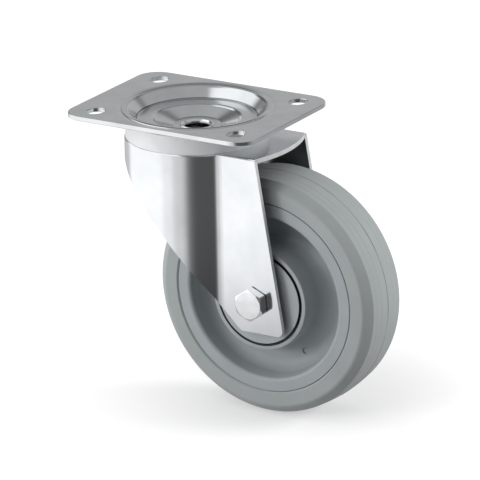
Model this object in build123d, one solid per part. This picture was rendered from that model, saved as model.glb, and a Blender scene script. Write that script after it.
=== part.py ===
from build123d import *
import math
import os

# Swivel castor with a dished top plate and a rubber-tyred wheel.
# Millimetres. The origin is the centre of the top plate's upper face, on the swivel axis.
# X runs along the wheel's axle, +Y is forward, +Z is up, and the wheel trails towards -Y.

# ---- mounting plate ---------------------------------------------------------------------
PLATE_LENGTH = 140.0            # along Y
PLATE_WIDTH = 110.0             # along X
PLATE_SHEET = 3.0
PLATE_CORNER_R = 15.0
PLATE_EDGE = 0.5                # broken edges
HOLE_SPACING_Y = 105.0
HOLE_SPACING_X = 77.5
HOLE_WIDTH = 11.0
HOLE_LENGTH = 13.5              # end to end of each slot, along X
DISH_RIM_R = 45.0               # top edge of the dish
DISH_FLOOR_R = 38.4             # foot of the dish wall
DISH_DEPTH = 7.0
DISH_RIM_BEND = 2.0
DISH_FOOT_BEND = 2.0
FUNNEL_RIM_R = 28.4             # where the flat ring turns into the funnel
FUNNEL_FLOOR_R = 15.4
FUNNEL_DEPTH = 12.2             # below the plate's face
FUNNEL_BEND = 1.5

# ---- swivel head ------------------------------------------------------------------------
BALL_R = 3.175                  # quarter-inch balls
BALL_PLAY = 0.08                # left all round each ball
UPPER_BALLS = 8
LOWER_BALLS = 6
UPPER_CUP_SHEET = 2.0
UPPER_CUP_R = 46.6              # outside of the round band
UPPER_CUP_TOP = -7.0            # upper edge of the band
UPPER_CUP_FLOOR_R = 27.0        # inner edge of the cup's floor
UPPER_CUP_BEND = 0.8            # outer foot of the wall
LOWER_CUP_SHEET = 2.5
LOWER_CUP_HUB_R = 17.0
LOWER_CUP_NECK_SLOPE = 1.5      # how much wider the neck is at its foot
LOWER_CUP_TRACK = 3.0           # flat left on each side of the lower balls' circle
LOWER_CUP_LIP = 3.2             # height of the upturned lip
LOWER_BALL_CIRCLE_R = 26.5
CAGE_SHEET = 1.8
CAGE_PLAY = 0.15
CAGE_WEB = 2.0                  # comb's spine, inside the pockets
CAGE_REACH = 2.6                # how far the comb's teeth pass the ball circle
RIVET_R = 9.6
RIVET_BORE_R = 7.6
RIVET_PLAY = 0.05
RIVET_HEAD_R = 11.2
RIVET_HEAD = 1.5
RIVET_FOOT_R = 12.8
RIVET_FOOT = 2.5
FORK_HOLE_PLAY = 2.0            # round the lower cup's neck

# ---- fork -------------------------------------------------------------------------------
FORK_SHEET = 3.0
FORK_DRUM_R = 47.2              # outside of the round front wall
HUB_LENGTH = 60.0               # inside width between the cheeks
FORK_ROOF_BEND = 3.2            # outside bend radius between roof and walls
FORK_CREASE_R = 6.0             # hollow bend where the drum meets a cheek
FORK_BOTTOM = -134.0
FORK_FRONT_EDGE = -25.5         # lowest point of the wall at the very front
FORK_SWEEP_MID = (0.0, -72.0)   # a point of the swept lower edge, as Y and Z
FORK_SWEEP_END = (-35.0, -119.0)
FORK_TOE_Y = -50.0              # front end of the cheek's level bottom edge
FORK_HEEL_SLOPE = 0.168         # how far the rear edge leans back for each mm down
FORK_HEEL_Y = -62.0             # rear edge at the roof's corners
FORK_ROOF_BULGE = 6.0           # how far the roof's rear edge bows out in the middle
FORK_CORNER_R = 4.0

# ---- wheel ------------------------------------------------------------------------------
TRAIL = 60.0                    # swivel axis to axle
AXLE_DROP = 113.5               # plate face to axle
WHEEL_R = 80.0
TYRE_HALF_WIDTH = 22.0
TREAD_HALF_WIDTH = 16.5
TREAD_DROP = 1.5                # how much lower the tread's edges are than its middle
TYRE_SHOULDER_R = 5.0
TYRE_SIDE_R = 63.8              # seam between tyre and rim flange
TYRE_SEAT_R = 59.5              # bottom of the tyre's bed
TYRE_SEAT_HALF_WIDTH = 15.0
RIM_HALF_WIDTH = 21.5
RIM_FLANGE_R = 55.0             # inner edge of the flange's flat ring
RIM_LIP_R = 2.5
WEB_HALF_THICKNESS = 5.0
WEB_FILLET = 8.0
WEB_DIMPLE_R = 2.2
WEB_DIMPLE_CIRCLE_R = 43.9
WEB_DIMPLE_DEPTH = 1.0
WEB_DIMPLE_ANGLE = -60.9        # from straight back, towards the ground
DRAFT = 2.0                     # how much the walls taper from web to edge
HUB_HALF_LENGTH = 26.0
HUB_R = 34.0
HUB_MOUTH_R = 30.7
HUB_EDGE = 0.6
HUB_MOUTH_DEPTH = 4.5

# ---- wheel bearing ----------------------------------------------------------------------
TUBE_R = 10.0
TUBE_BORE_R = 6.2
ROLLER_R = 2.5
ROLLERS = 8
ROLLER_LENGTH = 36.0
ROLLER_PLAY = 0.05
SLEEVE_SHEET = 1.5
SLEEVE_HALF_LENGTH = 21.5
ROLLER_CAGE_END = 2.5
ROLLER_CAGE_WALL = 2.6
THRUST_WASHER = 1.6
THRUST_PLAY = 0.2

# ---- thread guards ----------------------------------------------------------------------
GUARD_R = 29.8
GUARD_SHEET = 1.8
GUARD_FACE_X = 26.6             # outer edge of the disc
GUARD_DISH = 1.2                # how much the disc sinks towards its collar
GUARD_COLLAR_R = 13.5
GUARD_EDGE = 0.5

# ---- axle -------------------------------------------------------------------------------
BOLT_R = 6.0
BOLT_FLATS = 19.0
BOLT_HEAD = 7.5
BOLT_HEAD_TURN = 24.4           # how the hexagon happens to stand
BOLT_HOLE_R = 6.3
BOLT_END = 3.0                  # thread past the nut
NUT_HEIGHT = 8.0
NUT_COLLAR_R = 8.0
NUT_COLLAR = 4.0
NUT_CHAMFER = 1.2
WASHER_R = 12.0
WASHER_THICKNESS = 2.5

# ---- sizes that follow ------------------------------------------------------------------
FLAT_RING_UNDERSIDE = -DISH_DEPTH - PLATE_SHEET
PLATE_FLOOR_UNDERSIDE = -FUNNEL_DEPTH - PLATE_SHEET
BALL_GAP = BALL_R + BALL_PLAY
DISH_FOOT_TURN = math.atan2(DISH_DEPTH, DISH_RIM_R - DISH_FLOOR_R)
DISH_FOOT_CENTRE_R = DISH_FLOOR_R - DISH_FOOT_BEND * math.tan(DISH_FOOT_TURN / 2)
DISH_FOOT_CENTRE_Z = -DISH_DEPTH + DISH_FOOT_BEND
UPPER_BALL_CIRCLE_R = UPPER_CUP_R - UPPER_CUP_SHEET - BALL_GAP
DISH_TO_BALL = DISH_FOOT_BEND + PLATE_SHEET + BALL_GAP
UPPER_BALL_Z = DISH_FOOT_CENTRE_Z - math.sqrt(
    DISH_TO_BALL ** 2 - (UPPER_BALL_CIRCLE_R - DISH_FOOT_CENTRE_R) ** 2)
UPPER_CUP_FLOOR = UPPER_BALL_Z - BALL_GAP
FORK_ROOF = UPPER_CUP_FLOOR - UPPER_CUP_SHEET
FORK_CEILING = FORK_ROOF - FORK_SHEET
CHEEK_IN = HUB_LENGTH / 2
CHEEK_OUT = CHEEK_IN + FORK_SHEET
LOWER_BALL_Z = FORK_CEILING - BALL_GAP
LOWER_CUP_FLOOR = LOWER_BALL_Z - BALL_GAP
LOWER_CUP_NECK_R = LOWER_CUP_HUB_R + LOWER_CUP_NECK_SLOPE
LOWER_CUP_R = LOWER_BALL_CIRCLE_R + BALL_GAP + LOWER_CUP_TRACK
FORK_HOLE_R = LOWER_CUP_NECK_R + FORK_HOLE_PLAY
ROLLER_CIRCLE_R = TUBE_R + ROLLER_PLAY + ROLLER_R
SLEEVE_BORE_R = ROLLER_CIRCLE_R + ROLLER_R + ROLLER_PLAY
SLEEVE_R = SLEEVE_BORE_R + SLEEVE_SHEET
AXLE = Pos(0, -TRAIL, -AXLE_DROP)


def mitred(points, thickness):
    """Offset an open path of points to its right by the sheet's thickness."""
    path = [Vector(*p) for p in points]
    sides = [(b - a).normalized() for a, b in zip(path, path[1:])]
    normals = [Vector(d.Z, 0, -d.X) for d in sides]
    shifted = [path[0] + normals[0] * thickness]
    for corner, n1, n2 in zip(path[1:], normals, normals[1:]):
        shifted.append(corner + (n1 + n2) * (thickness / (1 + n1.dot(n2))))
    shifted.append(path[-1] + normals[-1] * thickness)
    return shifted


def pressed_ring(points, bends, thickness):
    """Revolve a bent sheet about Z.

    points are (radius, z) of one skin, from the inside out. The sheet lies below them.
    bends are the skin's bend radii: positive where the skin is the inside of the bend.
    """
    skin = [(r, 0, z) for r, z in points]
    back = mitred(skin, thickness)
    skin_radii = [b if b > 0 else thickness - b for b in bends]
    back_radii = [b + thickness if b > 0 else -b for b in bends]
    front = FilletPolyline(*skin, radius=skin_radii)
    rear = FilletPolyline(*back, radius=back_radii)
    ends = [Line(front @ 0, rear @ 0), Line(front @ 1, rear @ 1)]
    return revolve(make_face(front + rear + ends), Axis.Z)


def turned(outline, axis, radii=None):
    """Revolve a closed outline, whose corners may be rounded, about an axis."""
    wire = FilletPolyline(*outline, radius=radii or 0, close=True)
    return revolve(make_face(wire), axis)


def disc(outer_r, inner_r, low, high):
    """A plain ring about X between two places on it."""
    ring = Circle(outer_r) - Circle(inner_r) if inner_r else Circle(outer_r)
    return Plane.YZ.offset(low) * extrude(ring, high - low)


# ---- mounting plate ---------------------------------------------------------------------
def make_top_plate():
    """Flat plate with slotted holes, drawn down in the middle to a dish and a funnel."""
    blank = RectangleRounded(PLATE_WIDTH, PLATE_LENGTH, PLATE_CORNER_R)
    dish_border_r = DISH_RIM_R + PLATE_SHEET + DISH_RIM_BEND
    slots = [Pos(sx * HOLE_SPACING_X / 2, sy * HOLE_SPACING_Y / 2) * SlotOverall(HOLE_LENGTH, HOLE_WIDTH)
             for sx in (-1, 1) for sy in (-1, 1)]
    sheet = extrude(blank, -PLATE_SHEET)
    sheet = chamfer(sheet.edges().filter_by(Plane.XY), PLATE_EDGE)
    sheet -= extrude(Sketch() + slots + Circle(dish_border_r), -PLATE_SHEET)
    dish = pressed_ring(
        [(RIVET_R + RIVET_PLAY, -FUNNEL_DEPTH), (FUNNEL_FLOOR_R, -FUNNEL_DEPTH),
         (FUNNEL_RIM_R, -DISH_DEPTH), (DISH_FLOOR_R, -DISH_DEPTH), (DISH_RIM_R, 0), (dish_border_r, 0)],
        [FUNNEL_BEND, -FUNNEL_BEND, DISH_FOOT_BEND, -DISH_RIM_BEND], PLATE_SHEET)
    return sheet + dish


# ---- swivel head ------------------------------------------------------------------------
def make_king_rivet():
    """Hollow rivet: a rolled lip in the funnel and a formed foot under the lower cup."""
    lip = -FUNNEL_DEPTH + RIVET_HEAD
    foot_top = PLATE_FLOOR_UNDERSIDE - LOWER_CUP_SHEET
    bore_flare = RIVET_R - RIVET_BORE_R
    outline = [(RIVET_BORE_R, 0, foot_top - RIVET_FOOT), (RIVET_BORE_R, 0, lip),
               (RIVET_HEAD_R, 0, lip), (RIVET_HEAD_R, 0, -FUNNEL_DEPTH), (RIVET_R, 0, -FUNNEL_DEPTH),
               (RIVET_R, 0, foot_top), (RIVET_FOOT_R, 0, foot_top), (RIVET_FOOT_R, 0, foot_top - RIVET_FOOT)]
    radii = [0, bore_flare, RIVET_HEAD * 0.9, 0, 0, 0, 0, 0]
    return turned(outline, Axis.Z, radii)


def make_upper_race_cup():
    """L-section cup on the fork's roof; its wall is the round band under the plate."""
    outline = [(UPPER_CUP_R - UPPER_CUP_SHEET, 0, UPPER_CUP_TOP), (UPPER_CUP_R, 0, UPPER_CUP_TOP),
               (UPPER_CUP_R, 0, FORK_ROOF), (UPPER_CUP_FLOOR_R, 0, FORK_ROOF),
               (UPPER_CUP_FLOOR_R, 0, UPPER_CUP_FLOOR), (UPPER_CUP_R - UPPER_CUP_SHEET, 0, UPPER_CUP_FLOOR)]
    radii = [0, 0, UPPER_CUP_BEND, 0, 0, 0]
    return turned(outline, Axis.Z, radii)


def make_lower_race_cup():
    """Deep cup: a hub against the plate's funnel, a neck through the fork and a ball track."""
    return pressed_ring(
        [(RIVET_R + RIVET_PLAY, PLATE_FLOOR_UNDERSIDE), (LOWER_CUP_HUB_R, PLATE_FLOOR_UNDERSIDE),
         (LOWER_CUP_NECK_R, LOWER_CUP_FLOOR), (LOWER_CUP_R, LOWER_CUP_FLOOR),
         (LOWER_CUP_R + LOWER_CUP_NECK_SLOPE, LOWER_CUP_FLOOR + LOWER_CUP_LIP)],
        [-1.0, 1.0, 1.0], LOWER_CUP_SHEET)


def ball_row(count, circle_r, z):
    """A ring of separate balls."""
    return [Pos(circle_r * math.cos(a), circle_r * math.sin(a), z) * Sphere(BALL_R)
            for a in (2 * math.pi * i / count for i in range(count))]


def comb_cage(count, circle_r, z):
    """Flat comb ring: a spine inside the ball circle, with an open pocket for each ball."""
    pocket_r = BALL_R + CAGE_PLAY
    ring = Circle(circle_r + CAGE_REACH) - Circle(circle_r - pocket_r - CAGE_WEB)
    cage = Pos(0, 0, z - CAGE_SHEET / 2) * extrude(ring, CAGE_SHEET)
    for i in range(count):
        cage -= Rot(0, 0, 360 * i / count) * Pos(circle_r, 0, z) * Cylinder(pocket_r, 2 * CAGE_SHEET)
    return cage


def make_swivel_balls():
    """The upper row between plate and upper cup, and the lower row under the fork's roof."""
    upper = ball_row(UPPER_BALLS, UPPER_BALL_CIRCLE_R, UPPER_BALL_Z)
    return upper + ball_row(LOWER_BALLS, LOWER_BALL_CIRCLE_R, LOWER_BALL_Z)


def make_upper_ball_cage():
    return comb_cage(UPPER_BALLS, UPPER_BALL_CIRCLE_R, UPPER_BALL_Z)


def make_lower_ball_cage():
    return comb_cage(LOWER_BALLS, LOWER_BALL_CIRCLE_R, LOWER_BALL_Z)


# ---- fork -------------------------------------------------------------------------------
def keyhole(drum_r, half_width, crease_r, rear):
    """Plan of the fork: a round drum that runs out backwards into two straight sides."""
    sides = Pos(0, -rear / 2) * Rectangle(2 * half_width, rear)
    plan = Circle(drum_r) + sides
    crease_y = -math.sqrt(drum_r ** 2 - half_width ** 2)
    creases = [v for v in plan.vertices()
               if abs(abs(v.X) - half_width) < 0.01 and abs(v.Y - crease_y) < 0.01]
    return fillet(creases, crease_r)


def fork_side_view():
    """What the pressed blank keeps, seen along the axle: the swept front and the level bottom."""
    front_y = FORK_DRUM_R
    sweep = ThreePointArc((front_y, FORK_FRONT_EDGE), FORK_SWEEP_MID, FORK_SWEEP_END)
    back_y = FORK_HEEL_Y + FORK_HEEL_SLOPE * FORK_BOTTOM - 2 * FORK_SHEET
    rest = Polyline(FORK_SWEEP_END, (FORK_TOE_Y, FORK_BOTTOM), (back_y, FORK_BOTTOM), (back_y, 0),
                    (2 * front_y, 0), (2 * front_y, FORK_FRONT_EDGE), (front_y, FORK_FRONT_EDGE))
    return make_face(sweep + rest)


def make_fork():
    """Roof, round front wall and two cheeks, all one sheet."""
    depth = FORK_ROOF - FORK_BOTTOM
    rear = -FORK_HEEL_Y + FORK_HEEL_SLOPE * -FORK_BOTTOM + FORK_ROOF_BULGE
    skin = Pos(0, 0, FORK_ROOF) * extrude(
        keyhole(FORK_DRUM_R, CHEEK_OUT, FORK_CREASE_R, rear), -depth)
    top = skin.faces().sort_by(Axis.Z)[-1]
    skin = fillet([e for e in top.edges() if e.center().Y > -rear + 1], FORK_ROOF_BEND)
    hollow = Pos(0, 0, FORK_CEILING) * extrude(
        keyhole(FORK_DRUM_R - FORK_SHEET, CHEEK_IN, FORK_CREASE_R + FORK_SHEET, 2 * rear), -2 * depth)
    ceiling = hollow.faces().sort_by(Axis.Z)[-1]
    hollow = fillet([e for e in ceiling.edges() if e.center().Y > -2 * rear + 1],
                    FORK_ROOF_BEND - FORK_SHEET)
    fork = skin - hollow
    side = extrude(Plane.YZ * fork_side_view(), 2 * FORK_DRUM_R, both=True)
    fork &= side
    fork -= rear_trim(depth)
    fork -= Pos(0, 0, FORK_ROOF) * Cylinder(FORK_HOLE_R, 4 * FORK_SHEET)
    fork -= AXLE * disc(BOLT_HOLE_R, 0, -2 * CHEEK_OUT, 2 * CHEEK_OUT)
    toes = [e for e in fork.edges().filter_by(Axis.X)
            if e.center().Z < -AXLE_DROP and e.length < 1.1 * FORK_SHEET]
    return fillet(toes, FORK_CORNER_R)


def rear_trim(depth):
    """Everything behind the rear edge, which bows out at the roof and leans back downwards."""
    heel = Plane(origin=(0, FORK_HEEL_Y, FORK_ROOF), x_dir=(1, 0, 0), z_dir=(0, FORK_HEEL_SLOPE, 1))
    left, right = (-CHEEK_IN, 0), (CHEEK_IN, 0)
    bow = ThreePointArc(left, (0, -FORK_ROOF_BULGE), right)
    side, back = 2 * CHEEK_OUT, 4 * FORK_HEEL_Y
    rest = Polyline(right, (side, 0), (side, back), (-side, back), (-side, 0), left)
    return extrude(heel * make_face(bow + rest), 2 * depth, both=True)


# ---- wheel ------------------------------------------------------------------------------
def make_tyre():
    """Crowned tread, rounded shoulders and a bed that grips the rim."""
    w, t = TYRE_HALF_WIDTH, TREAD_HALF_WIDTH
    edge_r = WHEEL_R - TREAD_DROP
    seat_w, rim_w = TYRE_SEAT_HALF_WIDTH, RIM_HALF_WIDTH
    crown = ThreePointArc((-t, edge_r), (0, WHEEL_R), (t, edge_r))
    right = FilletPolyline((t, edge_r), (w, edge_r - (w - t) * 0.3), (w, TYRE_SIDE_R + 1), (rim_w, TYRE_SIDE_R),
                           (seat_w, TYRE_SIDE_R), (seat_w, TYRE_SEAT_R), radius=[TYRE_SHOULDER_R, 0, 0, 0])
    left = mirror(right, Plane.YZ)
    bed = Line((seat_w, TYRE_SEAT_R), (-seat_w, TYRE_SEAT_R))
    return AXLE * revolve(make_face(crown + right + left + bed), Axis.X)


def make_wheel_rim():
    """Hub, web and flanged bed as one moulding."""
    lip_r = min(RIM_LIP_R, 0.45 * (TYRE_SIDE_R - RIM_FLANGE_R))
    web_r = min(WEB_FILLET, 0.45 * (RIM_FLANGE_R - HUB_R - 2 * DRAFT))
    half = [(0, TYRE_SEAT_R), (TYRE_SEAT_HALF_WIDTH, TYRE_SEAT_R), (TYRE_SEAT_HALF_WIDTH, TYRE_SIDE_R),
            (RIM_HALF_WIDTH, TYRE_SIDE_R), (RIM_HALF_WIDTH, RIM_FLANGE_R),
            (WEB_HALF_THICKNESS, RIM_FLANGE_R - DRAFT), (WEB_HALF_THICKNESS, HUB_R + DRAFT),
            (HUB_HALF_LENGTH - HUB_EDGE, HUB_R), (HUB_HALF_LENGTH, HUB_R - HUB_EDGE),
            (HUB_HALF_LENGTH, HUB_MOUTH_R),
            (HUB_HALF_LENGTH - HUB_MOUTH_DEPTH, HUB_MOUTH_R), (HUB_HALF_LENGTH - HUB_MOUTH_DEPTH, SLEEVE_R),
            (0, SLEEVE_R)]
    radii = [0, 0, 0, lip_r, web_r, web_r, 0, 0, 0, 0, 0]
    edge = FilletPolyline(*half, radius=radii)
    closing = Line(edge @ 0, edge @ 1)
    body = revolve(make_face(edge + closing), Axis.X)
    rim = body + mirror(body, Plane.YZ)
    for side in (-1, 1):
        rim -= (Rot(180 - WEB_DIMPLE_ANGLE, 0, 0) * Pos(side * WEB_HALF_THICKNESS, WEB_DIMPLE_CIRCLE_R, 0)
                * Rot(0, 90, 0) * Cylinder(WEB_DIMPLE_R, 2 * WEB_DIMPLE_DEPTH))
    return AXLE * rim


def make_hub_sleeve():
    return AXLE * disc(SLEEVE_R, SLEEVE_BORE_R, -SLEEVE_HALF_LENGTH, SLEEVE_HALF_LENGTH)


def make_wheel_rollers():
    half = ROLLER_LENGTH / 2
    roller = disc(ROLLER_R, 0, -half, half)
    return [AXLE * Rot(360 * i / ROLLERS, 0, 0) * Pos(0, ROLLER_CIRCLE_R, 0) * roller for i in range(ROLLERS)]


def make_roller_cage():
    """A tube round the roller circle with a window for each roller."""
    window = ROLLER_LENGTH / 2 + CAGE_PLAY
    end = window + ROLLER_CAGE_END
    half_wall = ROLLER_CAGE_WALL / 2
    cage = disc(ROLLER_CIRCLE_R + half_wall, ROLLER_CIRCLE_R - half_wall, -end, end)
    for i in range(ROLLERS):
        cage -= (Rot(360 * i / ROLLERS, 0, 0) * Pos(0, ROLLER_CIRCLE_R, 0)
                 * disc(ROLLER_R + CAGE_PLAY, 0, -window, window))
    return AXLE * cage


def make_axle_tube():
    return AXLE * disc(TUBE_R, TUBE_BORE_R, -CHEEK_IN, CHEEK_IN)


def make_thrust_washer(side):
    """Flat disc that lies on the floor of the hub's mouth."""
    floor_x = HUB_HALF_LENGTH - HUB_MOUTH_DEPTH
    ring = disc(SLEEVE_R + 2 * SLEEVE_SHEET, TUBE_R + THRUST_PLAY, floor_x, floor_x + THRUST_WASHER)
    return AXLE * (ring if side > 0 else mirror(ring, Plane.YZ))


def make_thread_guard(side):
    """Dished disc on the axle tube, with a collar that bears on the cheek."""
    rim_in = GUARD_FACE_X - GUARD_SHEET
    floor_out = GUARD_FACE_X - GUARD_DISH
    outline = [(rim_in, GUARD_R), (rim_in - GUARD_DISH, TUBE_R), (CHEEK_IN, TUBE_R),
               (CHEEK_IN, GUARD_COLLAR_R), (floor_out, GUARD_COLLAR_R),
               (GUARD_FACE_X, GUARD_R - GUARD_EDGE), (GUARD_FACE_X - GUARD_EDGE, GUARD_R)]
    guard = turned(outline, Axis.X)
    return AXLE * (guard if side > 0 else mirror(guard, Plane.YZ))


# ---- axle -------------------------------------------------------------------------------
def hexagon(flats, low, high, turn):
    """Hexagonal prism about X with both ends' corners chamfered."""
    across_corners_r = flats / math.sqrt(3)
    prism = Plane.YZ.offset(low) * extrude(Rot(0, 0, turn) * RegularPolygon(across_corners_r, 6), high - low)
    slope = across_corners_r - flats / 2 + NUT_CHAMFER / 2
    cone = [(low, 0), (low, flats / 2), (low + slope / 2, across_corners_r + 0.2),
            (high, across_corners_r + 0.2), (high, 0)]
    return prism & turned(cone, Axis.X)


def make_axle_bolt():
    """Hexagon bolt, its head on the left cheek."""
    head = hexagon(BOLT_FLATS, -CHEEK_OUT - BOLT_HEAD, -CHEEK_OUT, BOLT_HEAD_TURN)
    end = CHEEK_OUT + WASHER_THICKNESS + NUT_HEIGHT + NUT_COLLAR + BOLT_END
    return AXLE * (head + disc(BOLT_R, 0, -CHEEK_OUT, end))


def make_nut_washer():
    return AXLE * disc(WASHER_R, BOLT_HOLE_R, CHEEK_OUT, CHEEK_OUT + WASHER_THICKNESS)


def make_axle_nut():
    """Hexagonal lock nut with a round collar over its insert."""
    base = CHEEK_OUT + WASHER_THICKNESS
    top = base + NUT_HEIGHT
    hexed = mirror(hexagon(BOLT_FLATS, -top, -base, 0), Plane.YZ)
    nut = hexed + disc(NUT_COLLAR_R, 0, top - NUT_CHAMFER, top + NUT_COLLAR)
    nut -= disc(BOLT_R, 0, base, top + NUT_COLLAR)
    nut -= disc(insert_r(), 0, top, top + NUT_COLLAR - NUT_CHAMFER / 2)
    return AXLE * nut


def insert_r():
    """Outside of the nylon ring in the nut's collar."""
    return NUT_COLLAR_R - NUT_CHAMFER / 2


def make_nut_insert():
    top = CHEEK_OUT + WASHER_THICKNESS + NUT_HEIGHT
    return AXLE * disc(insert_r(), BOLT_R, top, top + NUT_COLLAR - NUT_CHAMFER / 2)


PIECES = {
    "top_plate": make_top_plate(),
    "king_rivet": make_king_rivet(),
    "lower_race_cup": make_lower_race_cup(),
    "upper_race_cup": make_upper_race_cup(),
    "swivel_balls": make_swivel_balls(),
    "upper_ball_cage": make_upper_ball_cage(),
    "lower_ball_cage": make_lower_ball_cage(),
    "fork": make_fork(),
    "axle_bolt": make_axle_bolt(),
    "axle_nut": make_axle_nut(),
    "nut_insert": make_nut_insert(),
    "nut_washer": make_nut_washer(),
    "axle_tube": make_axle_tube(),
    "thread_guard_left": make_thread_guard(-1),
    "thread_guard_right": make_thread_guard(1),
    "wheel_rim": make_wheel_rim(),
    "tyre": make_tyre(),
    "hub_sleeve": make_hub_sleeve(),
    "wheel_rollers": make_wheel_rollers(),
    "roller_cage": make_roller_cage(),
    "thrust_washer_left": make_thrust_washer(-1),
    "thrust_washer_right": make_thrust_washer(1),
}

os.makedirs("parts", exist_ok=True)
for name, shape in PIECES.items():
    solids = [s for item in shape for s in item.solids()] if isinstance(shape, list) else shape.solids()
    export_step(Compound(children=list(solids)), f"parts/{name}.step")
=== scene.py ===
"""Looks of a swivel castor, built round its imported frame.

The frame is in metres: origin in the middle of the mounting plate's upper face, on the
swivel axis, +X along the wheel's axle, +Y forward, +Z up. Sizes here are in millimetres
and are turned to metres where a mesh is made.
"""

import logging
import math
from dataclasses import dataclass
from enum import Enum
from typing import Iterable, Sequence

import bmesh
import bpy
from mathutils import Matrix, Vector
from mathutils.geometry import tessellate_polygon

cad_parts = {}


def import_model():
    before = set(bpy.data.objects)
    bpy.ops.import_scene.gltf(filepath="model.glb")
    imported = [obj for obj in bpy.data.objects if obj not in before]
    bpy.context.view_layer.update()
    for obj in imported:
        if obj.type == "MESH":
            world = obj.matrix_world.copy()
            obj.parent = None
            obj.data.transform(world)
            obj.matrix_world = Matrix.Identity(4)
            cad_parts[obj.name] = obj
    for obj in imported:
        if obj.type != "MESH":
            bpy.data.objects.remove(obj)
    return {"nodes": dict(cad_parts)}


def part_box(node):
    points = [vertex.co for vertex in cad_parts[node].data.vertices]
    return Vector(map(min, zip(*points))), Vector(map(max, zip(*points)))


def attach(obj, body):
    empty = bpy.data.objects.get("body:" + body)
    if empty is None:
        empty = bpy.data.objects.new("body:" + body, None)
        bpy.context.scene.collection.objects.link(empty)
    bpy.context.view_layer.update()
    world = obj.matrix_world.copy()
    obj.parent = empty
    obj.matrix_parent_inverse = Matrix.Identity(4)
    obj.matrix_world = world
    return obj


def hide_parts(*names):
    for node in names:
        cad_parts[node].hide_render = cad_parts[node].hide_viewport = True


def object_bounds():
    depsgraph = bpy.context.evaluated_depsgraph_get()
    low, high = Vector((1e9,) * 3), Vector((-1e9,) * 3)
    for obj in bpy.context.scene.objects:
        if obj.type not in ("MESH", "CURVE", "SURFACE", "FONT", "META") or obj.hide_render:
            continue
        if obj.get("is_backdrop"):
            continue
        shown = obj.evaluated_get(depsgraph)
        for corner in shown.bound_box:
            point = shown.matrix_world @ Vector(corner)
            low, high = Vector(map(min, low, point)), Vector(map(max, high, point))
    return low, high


Point = tuple[float, float]
Triple = tuple[float, float, float]
Piece = bpy.types.Object
Node = bpy.types.Node
Socket = bpy.types.NodeSocket
Tree = bpy.types.NodeTree

MM = 0.001
SAME_PLACE = 1e-4 * MM
SMOOTH_ANGLE = math.radians(38)
# The swivel axis, the axle's middle and the height of the fork's roof, in millimetres.
ORIGIN: Triple = (0.0, 0.0, 0.0)
AXLE_PLACE: Triple = (0.0, -60.0, -113.5)
ROOF = -17.58
log = logging.getLogger("castor")


# ---- colour and nodes ---------------------------------------------------------------------
def linear(hex_colour: str) -> tuple[float, float, float, float]:
    """Turn an sRGB hex colour to linear light.

    Args:
        hex_colour: six hex digits, with or without a leading #.

    Returns:
        Red, green, blue and an alpha of 1.
    """
    digits = hex_colour.lstrip("#")
    channels = (int(digits[i:i + 2], 16) / 255 for i in (0, 2, 4))
    red, green, blue = (c / 12.92 if c <= 0.04045 else ((c + 0.055) / 1.055) ** 2.4 for c in channels)
    return red, green, blue, 1.0


class Blend(Enum):
    """How a Map Range node goes from one value to the next."""

    STRAIGHT = "LINEAR"
    SMOOTH = "SMOOTHSTEP"


def feed(tree: Tree, node: Node, feeds: dict | Sequence) -> None:
    """Set or link a node's inputs.

    Args:
        tree: the node tree.
        node: the node that is fed.
        feeds: plain values, sockets, or nodes of which the first output is meant; in the
            inputs' order, or by the inputs' names or numbers.
    """
    for socket, source in (feeds if isinstance(feeds, dict) else dict(enumerate(feeds))).items():
        if isinstance(source, Node):
            source = source.outputs[0]
        if isinstance(source, Socket):
            tree.links.new(source, node.inputs[socket])
        else:
            node.inputs[socket].default_value = source


def add_node(tree: Tree, kind: str, feeds: dict | Sequence = (), **settings) -> Node:
    """Add a node with its settings and links.

    Args:
        tree: the node tree that gets it.
        kind: the node's type name.
        feeds: what its inputs are set to or fed by.
        settings: properties of the node, an Enum member standing for its value.

    Returns:
        The new node.
    """
    node = tree.nodes.new(kind)
    for name, value in settings.items():
        setattr(node, name, value.value if isinstance(value, Enum) else value)
    feed(tree, node, feeds)
    return node


# ---- finishes -----------------------------------------------------------------------------
# Every noise's roughness, and the values of it between which a patch or a line's run comes up.
NOISE_ROUGHNESS = 0.55
PATCH_EDGES: Point = (0.3, 0.7)
RUN_EDGES: Point = (0.38, 0.62)
# The share of a line's half width that is full, and the cosines between which a side comes up.
LINE_CORE = 0.4
SIDE_EDGES: Point = (0.35, 0.8)


class Line(Enum):
    """What a tool's line is measured from: which axes count, and the place in millimetres."""

    SWIVEL = ((1.0, 1.0, 0.0), ORIGIN)
    TREAD = ((1.0, 0.0, 0.0), ORIGIN)
    AXLE = ((0.0, 1.0, 1.0), AXLE_PLACE)


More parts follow.
